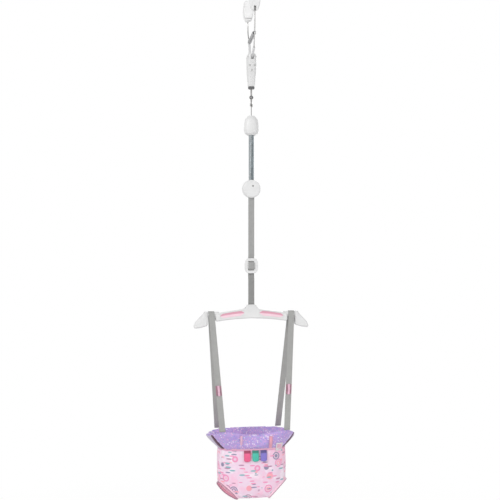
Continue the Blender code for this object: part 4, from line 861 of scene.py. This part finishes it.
def make_binding(word, spots, normal):
    """The soft folded binding round a leg opening, slightly puckered by its stitches."""
    count, sides = 120, 14
    set_in, set_down, half_thick, half_wide = 0.0012, 0.0015, 0.0028, 0.0048
    line = even(spots, count)
    for _ in range(3):
        line = [(line[i - 1] + line[i] * 2 + line[(i + 1) % count]) / 4 for i in range(count)]
    middle = sum(line, Vector()) / count
    rows = []
    for i, p in enumerate(line):
        along = (line[(i + 1) % count] - line[i - 1]).normalized()
        out = normal.cross(along).normalized()
        out = out if out.dot(p - middle) > 0 else -out
        pucker = 1 + 0.05 * math.sin(2 * math.pi * i / 4)
        centre = p - out * set_in + normal * set_down
        rows.append([centre + out * math.cos(a) * half_thick * pucker
                     + normal * math.sin(a) * half_wide * pucker for a in circle(sides)])
    rows.append(rows[0])
    binding = grid(f"{word}_leg_cuff", rows, "binding_fabric", True)
    with edited(binding) as bm:
        bmesh.ops.remove_doubles(bm, verts=bm.verts, dist=0.000001)
    outward(binding)
    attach(binding, "seat")
    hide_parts(f"{word}_leg_binding")
    return binding


def wrapped_uv(obj, middle_turn):
    """UVs in metres round the seat and down it, cut opposite the middle turn."""
    mean_radius, long_side, slant = 0.125, 1.5, 0.3
    mesh = obj.data
    layer = mesh.uv_layers.get("cloth") or mesh.uv_layers.new(name="cloth")
    for loop in mesh.loops:
        p = mesh.vertices[loop.vertex_index].co
        turn = math.atan2(p.y * long_side, p.x) - middle_turn
        turn = (turn + math.pi) % (2 * math.pi) - math.pi
        layer.data[loop.index].uv = (turn * mean_radius, p.z * 1.05 + math.hypot(p.x, p.y) * slant)


def puffed(obj, voxel, pressure, cap):
    """Swells a closed padded piece as cloth under pressure, never further than cap."""
    remesh = obj.modifiers.new("even", "REMESH")
    remesh.mode, remesh.voxel_size, remesh.use_smooth_shade = "VOXEL", voxel, True
    applied(obj)
    frames = 20
    before = np.array([v.co for v in obj.data.vertices])
    made = obj.modifiers.new("puff", "CLOTH")
    fabric = made.settings
    fabric.use_pressure = True
    fabric.uniform_pressure_force = pressure
    fabric.quality = 5
    fabric.mass = 0.12
    fabric.tension_stiffness = fabric.compression_stiffness = 18
    fabric.bending_stiffness = 0.4
    fabric.effector_weights.gravity = 0
    made.point_cache.frame_start, made.point_cache.frame_end = 1, frames
    scene = bpy.context.scene
    for step in range(frames):
        scene.frame_set(step + 1)
    after = obj.evaluated_get(bpy.context.evaluated_depsgraph_get()).to_mesh()
    moved = np.array([v.co for v in after.vertices]) - before
    obj.modifiers.clear()
    scene.frame_set(1)
    far = np.linalg.norm(moved, axis=1, keepdims=True)
    moved *= np.minimum(1, cap / np.maximum(far, 1e-9))
    obj.data.vertices.foreach_set("co", (before + moved).ravel())
    obj.data.update()
    finer = obj.modifiers.new("finer", "SUBSURF")
    finer.levels = finer.render_levels = 1
    applied(obj)


def make_band(word, side):
    """One half of the padded band, between the side slits."""
    rim, foot = rim_line(), bag_top()
    inner_rim, inner_foot = rim_line(-BAND_WALL), bag_top(-BAND_WALL)
    rows = []
    for skin, other in (((rim, foot), (inner_rim, inner_foot)), ((inner_foot, inner_rim), (foot, rim))):
        for share in (0.0, 0.08, 0.3, 0.55, 0.8, 0.93, 1.0):
            crown = 0.30 - 0.42 * math.sin(math.pi * share)
            inset = 0.26 if share in (0.0, 1.0) else crown * 0.5
            rows.append([a.lerp(b, share).lerp(c.lerp(d, share), inset)
                         for a, b, c, d in zip(*skin, *other)])
    band = grid(f"band_{word}_padding", rows, "band_fabric", True)
    with edited(band) as bm:
        bm.verts.ensure_lookup_table()
        last = (len(rows) - 1) * AROUND
        for i in range(AROUND):
            k = (i + 1) % AROUND
            bm.faces.new([bm.verts[j] for j in (last + i, last + k, k, i)])
    outward(band)
    cut(band, Vector((0, SLIT_DEPTH + side * 0.0030, 0)), Vector((0, -side, 0)), True)
    puffed(band, voxel=0.0035, pressure=3.0, cap=0.005)
    band.data.materials.clear()
    for look in ("band_fabric", "band_lining", "band_edge"):
        band.data.materials.append(looks[look])
    lining, edge = 1, 2
    for face in band.data.polygons:
        face.use_smooth = True
        x, y, _ = face.center
        outer = face.normal.dot(Vector((x, y, 0))) > 0 and face.normal.z < 0.6
        at_slit = abs(y - SLIT_DEPTH) < 0.0075 and abs(x) > 0.08
        # Painted shade: the faces inside the side slits take the near-black band_edge cloth.
        if at_slit and abs(face.normal.y) > 0.35:
            face.material_index = edge
        elif word == "rear" and outer:
            face.material_index = lining
    wrapped_uv(band, side * math.pi / 2)
    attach(band, "seat")
    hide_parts(f"seat_band_{word}")
    return band


def make_seam():
    """The thin sewn edge round the bag under the band."""
    seam = tube("band_seam", ring_at(0.004, 0.990, 0.962, 0.0004), 0.0012, "seam_fabric", cyclic=True)
    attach(seam, "seat")
    return seam


def make_patch(name, place, width, levels, look, node, thickness, columns=9):
    """Flat ribbon over the seat's front: place(x, level) gives its points, from top to bottom."""
    xs = np.linspace(-width / 2, width / 2, columns)
    rows = [[place(x, level) for x in xs] for level in levels]
    patch = grid(name, rows, look, u=list(xs), v=lengths([row[columns // 2] for row in rows]))
    thickened(patch, thickness, 0)
    outward(patch)
    for face in patch.data.polygons:
        face.use_smooth = True
    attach(patch, "seat")
    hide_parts(node)
    return patch


def make_tag(word, look):
    """A folded ribbon loop sewn under the band's lower edge."""
    node = f"{word}_ribbon_tag"
    x, width = centre_of(extent(node)[X]), size_of(extent(node)[X])
    drop, count = 0.0355, 14

    def place(across, level):
        front = level <= 1
        share = level if front else 2 - level
        z = BAND_FOOT - 0.0002 - drop * share
        lift = 0.0030 + 0.0026 * share ** 1.6 + 0.0005 * math.sin(across * 210 + share * 3 + x * 90)
        open_up = 0.0018 * math.sin(math.pi * min(share * 1.08, 1)) * (1 if front else -0.75)
        round_off = 0.0034 * (abs(across) / (width / 2)) ** 2.5 * share ** 3
        return front_at(x + across, z + round_off, lift + open_up)

    levels = [*np.linspace(0, 1, count), *np.linspace(1.03, 2, count)]
    return make_patch(f"{word}_tag_loop", place, width, levels, look, node, 0.0007)


def make_ring_loop(word, look):
    """A narrow loop for a toy, sewn at both ends and standing off the band between them."""
    node = f"{word}_band_toy_loop"
    across_band, _, (foot, top) = extent(node)
    x = centre_of(across_band)

    def place(across, level):
        stand = math.sin(math.pi * min(max(level * 1.3 - 0.15, 0), 1)) ** 1.3
        return front_at(x + across, top - size_of((foot, top)) * level, 0.0020 + 0.0034 * stand)

    levels = np.linspace(0, 1, 16)
    return make_patch(f"{word}_band_ring_loop", place, size_of(across_band), levels, look, node, 0.0012, 5)


def make_label():
    """The bare woven label, with a pink middle inside a white border."""
    across_seat, _, (_, top) = extent("seat_label")
    x = centre_of(across_seat)

    def place(across, level):
        lift = 0.0014 + 0.0008 * math.sin(level * 4 + across * 120)
        return front_at(x + across, top - LABEL_HEIGHT * level, lift)

    return make_patch("seat_label_patch", place, size_of(across_seat), np.linspace(0, 1, 12),
                      "label_ribbon", "seat_label", 0.0009)


bag, leg_loops = make_bag()
cuffs = [make_binding(word, *leg_loops[word]) for word in ("left", "right")]
bands = [make_band("front", -1), make_band("rear", 1)]
tags = [make_tag("first", "rose_ribbon"), make_tag("second", "teal_ribbon"),
        make_tag("third", "violet_ribbon")]
ring_loops = [make_ring_loop("left", "orchid_ribbon"), make_ring_loop("right", "coral_ribbon")]
label = make_label()
seam = make_seam()


# The floor, the light and the camera

def seen_directly(tree):
    """1 for what the camera sees, also in a reflection or through a piece, and 0 for other light."""
    rays = tree.nodes.new("ShaderNodeLightPath")
    seen = rays.outputs["Is Camera Ray"]
    for kind in ("Is Glossy Ray", "Is Transmission Ray"):
        either = tree.nodes.new("ShaderNodeMath")
        either.operation = "MAXIMUM"
        tree.links.new(seen, either.inputs[0])
        tree.links.new(rays.outputs[kind], either.inputs[1])
        seen = either.outputs[0]
    return seen


def make_floor():
    """A pale floor that is seen as white but lights the object like a plain one."""
    look = Look("pale_floor", 0.9)
    look.set(look.shader, Base_Color=(0.85, 0.85, 0.85))
    lit = look.node("ShaderNodeEmission")
    x, y, _ = look.parts(look.place)
    away = look.math("SQRT", look.math("ADD", look.times(x, x), look.times(y, y)))
    share = look.times(seen_directly(look.tree), look.span(away, 0.5, 2.0, 0.9, 1.0))
    blend = look.node("ShaderNodeMixShader")
    look.fill(blend.inputs, (share, look.shader.outputs[0], lit.outputs[0]))
    output = next(n for n in look.tree.nodes if n.type == "OUTPUT_MATERIAL")
    look.link(blend.outputs[0], output.inputs["Surface"])
    looks["pale_floor"] = look.material
    radius, height, sides = 2.4, -2.05, 64
    spots = [(radius * math.cos(a), radius * math.sin(a)) for a in circle(sides)]
    points = [(x, y, height) for x, y in spots]
    floor = add_mesh("floor", points, [tuple(range(sides))], [spots], "pale_floor")


def make_world():
    """A white background, which lights the object at a lower level."""
    world = bpy.data.worlds.new("studio")
    bpy.context.scene.world = world
    world.use_nodes = True
    tree = world.node_tree
    back = tree.nodes["Background"]
    back.inputs["Color"].default_value = (1, 1, 1, 1)
    level = tree.nodes.new("ShaderNodeMapRange")
    tree.links.new(seen_directly(tree), level.inputs[0])
    lighting = 0.62
    level.inputs["To Min"].default_value = lighting
    tree.links.new(level.outputs[0], back.inputs["Strength"])


def add_lamp(name, place, aim, size, power):
    """A round soft lamp, with its size in metres and its power in watts."""
    light = bpy.data.lights.new(name, "AREA")
    light.shape, light.size, light.energy = "DISK", size, power
    lamp = bpy.data.objects.new(name, light)
    lamp.location = place
    lamp.rotation_euler = (Vector(aim) - Vector(place)).to_track_quat("-Z", "Y").to_euler()
    model.objects.link(lamp)


def add_camera():
    """Nine degrees to the left of straight ahead, and level with the photo's middle."""
    height, distance, turn = -0.816, 2.83, math.radians(9)
    # In pixels: how far the photo's middle is left of the object's axis, and the photo's width
    pixels_left, photo_width = 1.3, 500
    data = bpy.data.cameras.new("photo_view")
    data.lens, data.sensor_width, data.clip_end = 61.2, 36, 50
    data.shift_x = -pixels_left / photo_width
    camera = bpy.data.objects.new("photo_view", data)
    camera.location = (-math.sin(turn) * distance, -math.cos(turn) * distance, height)
    camera.rotation_euler = (math.pi / 2, 0, -turn)
    model.objects.link(camera)
    bpy.context.scene.camera = camera


make_floor()
make_world()
add_lamp("key", (-1.9, -1.7, 0.6), (0, 0, -0.8), size=1.2, power=34)
add_lamp("fill", (2.0, -1.6, -0.6), (0, 0, -1.0), size=1.4, power=12)
add_lamp("low_fill", (-0.6, -1.9, -1.9), (0, 0, -1.4), size=1.0, power=7)
add_lamp("rear_fill", (1.0, 2.2, -0.3), (0, 0, -0.9), size=1.6, power=14)
add_camera()
bpy.context.scene.view_settings.view_transform = "Standard"
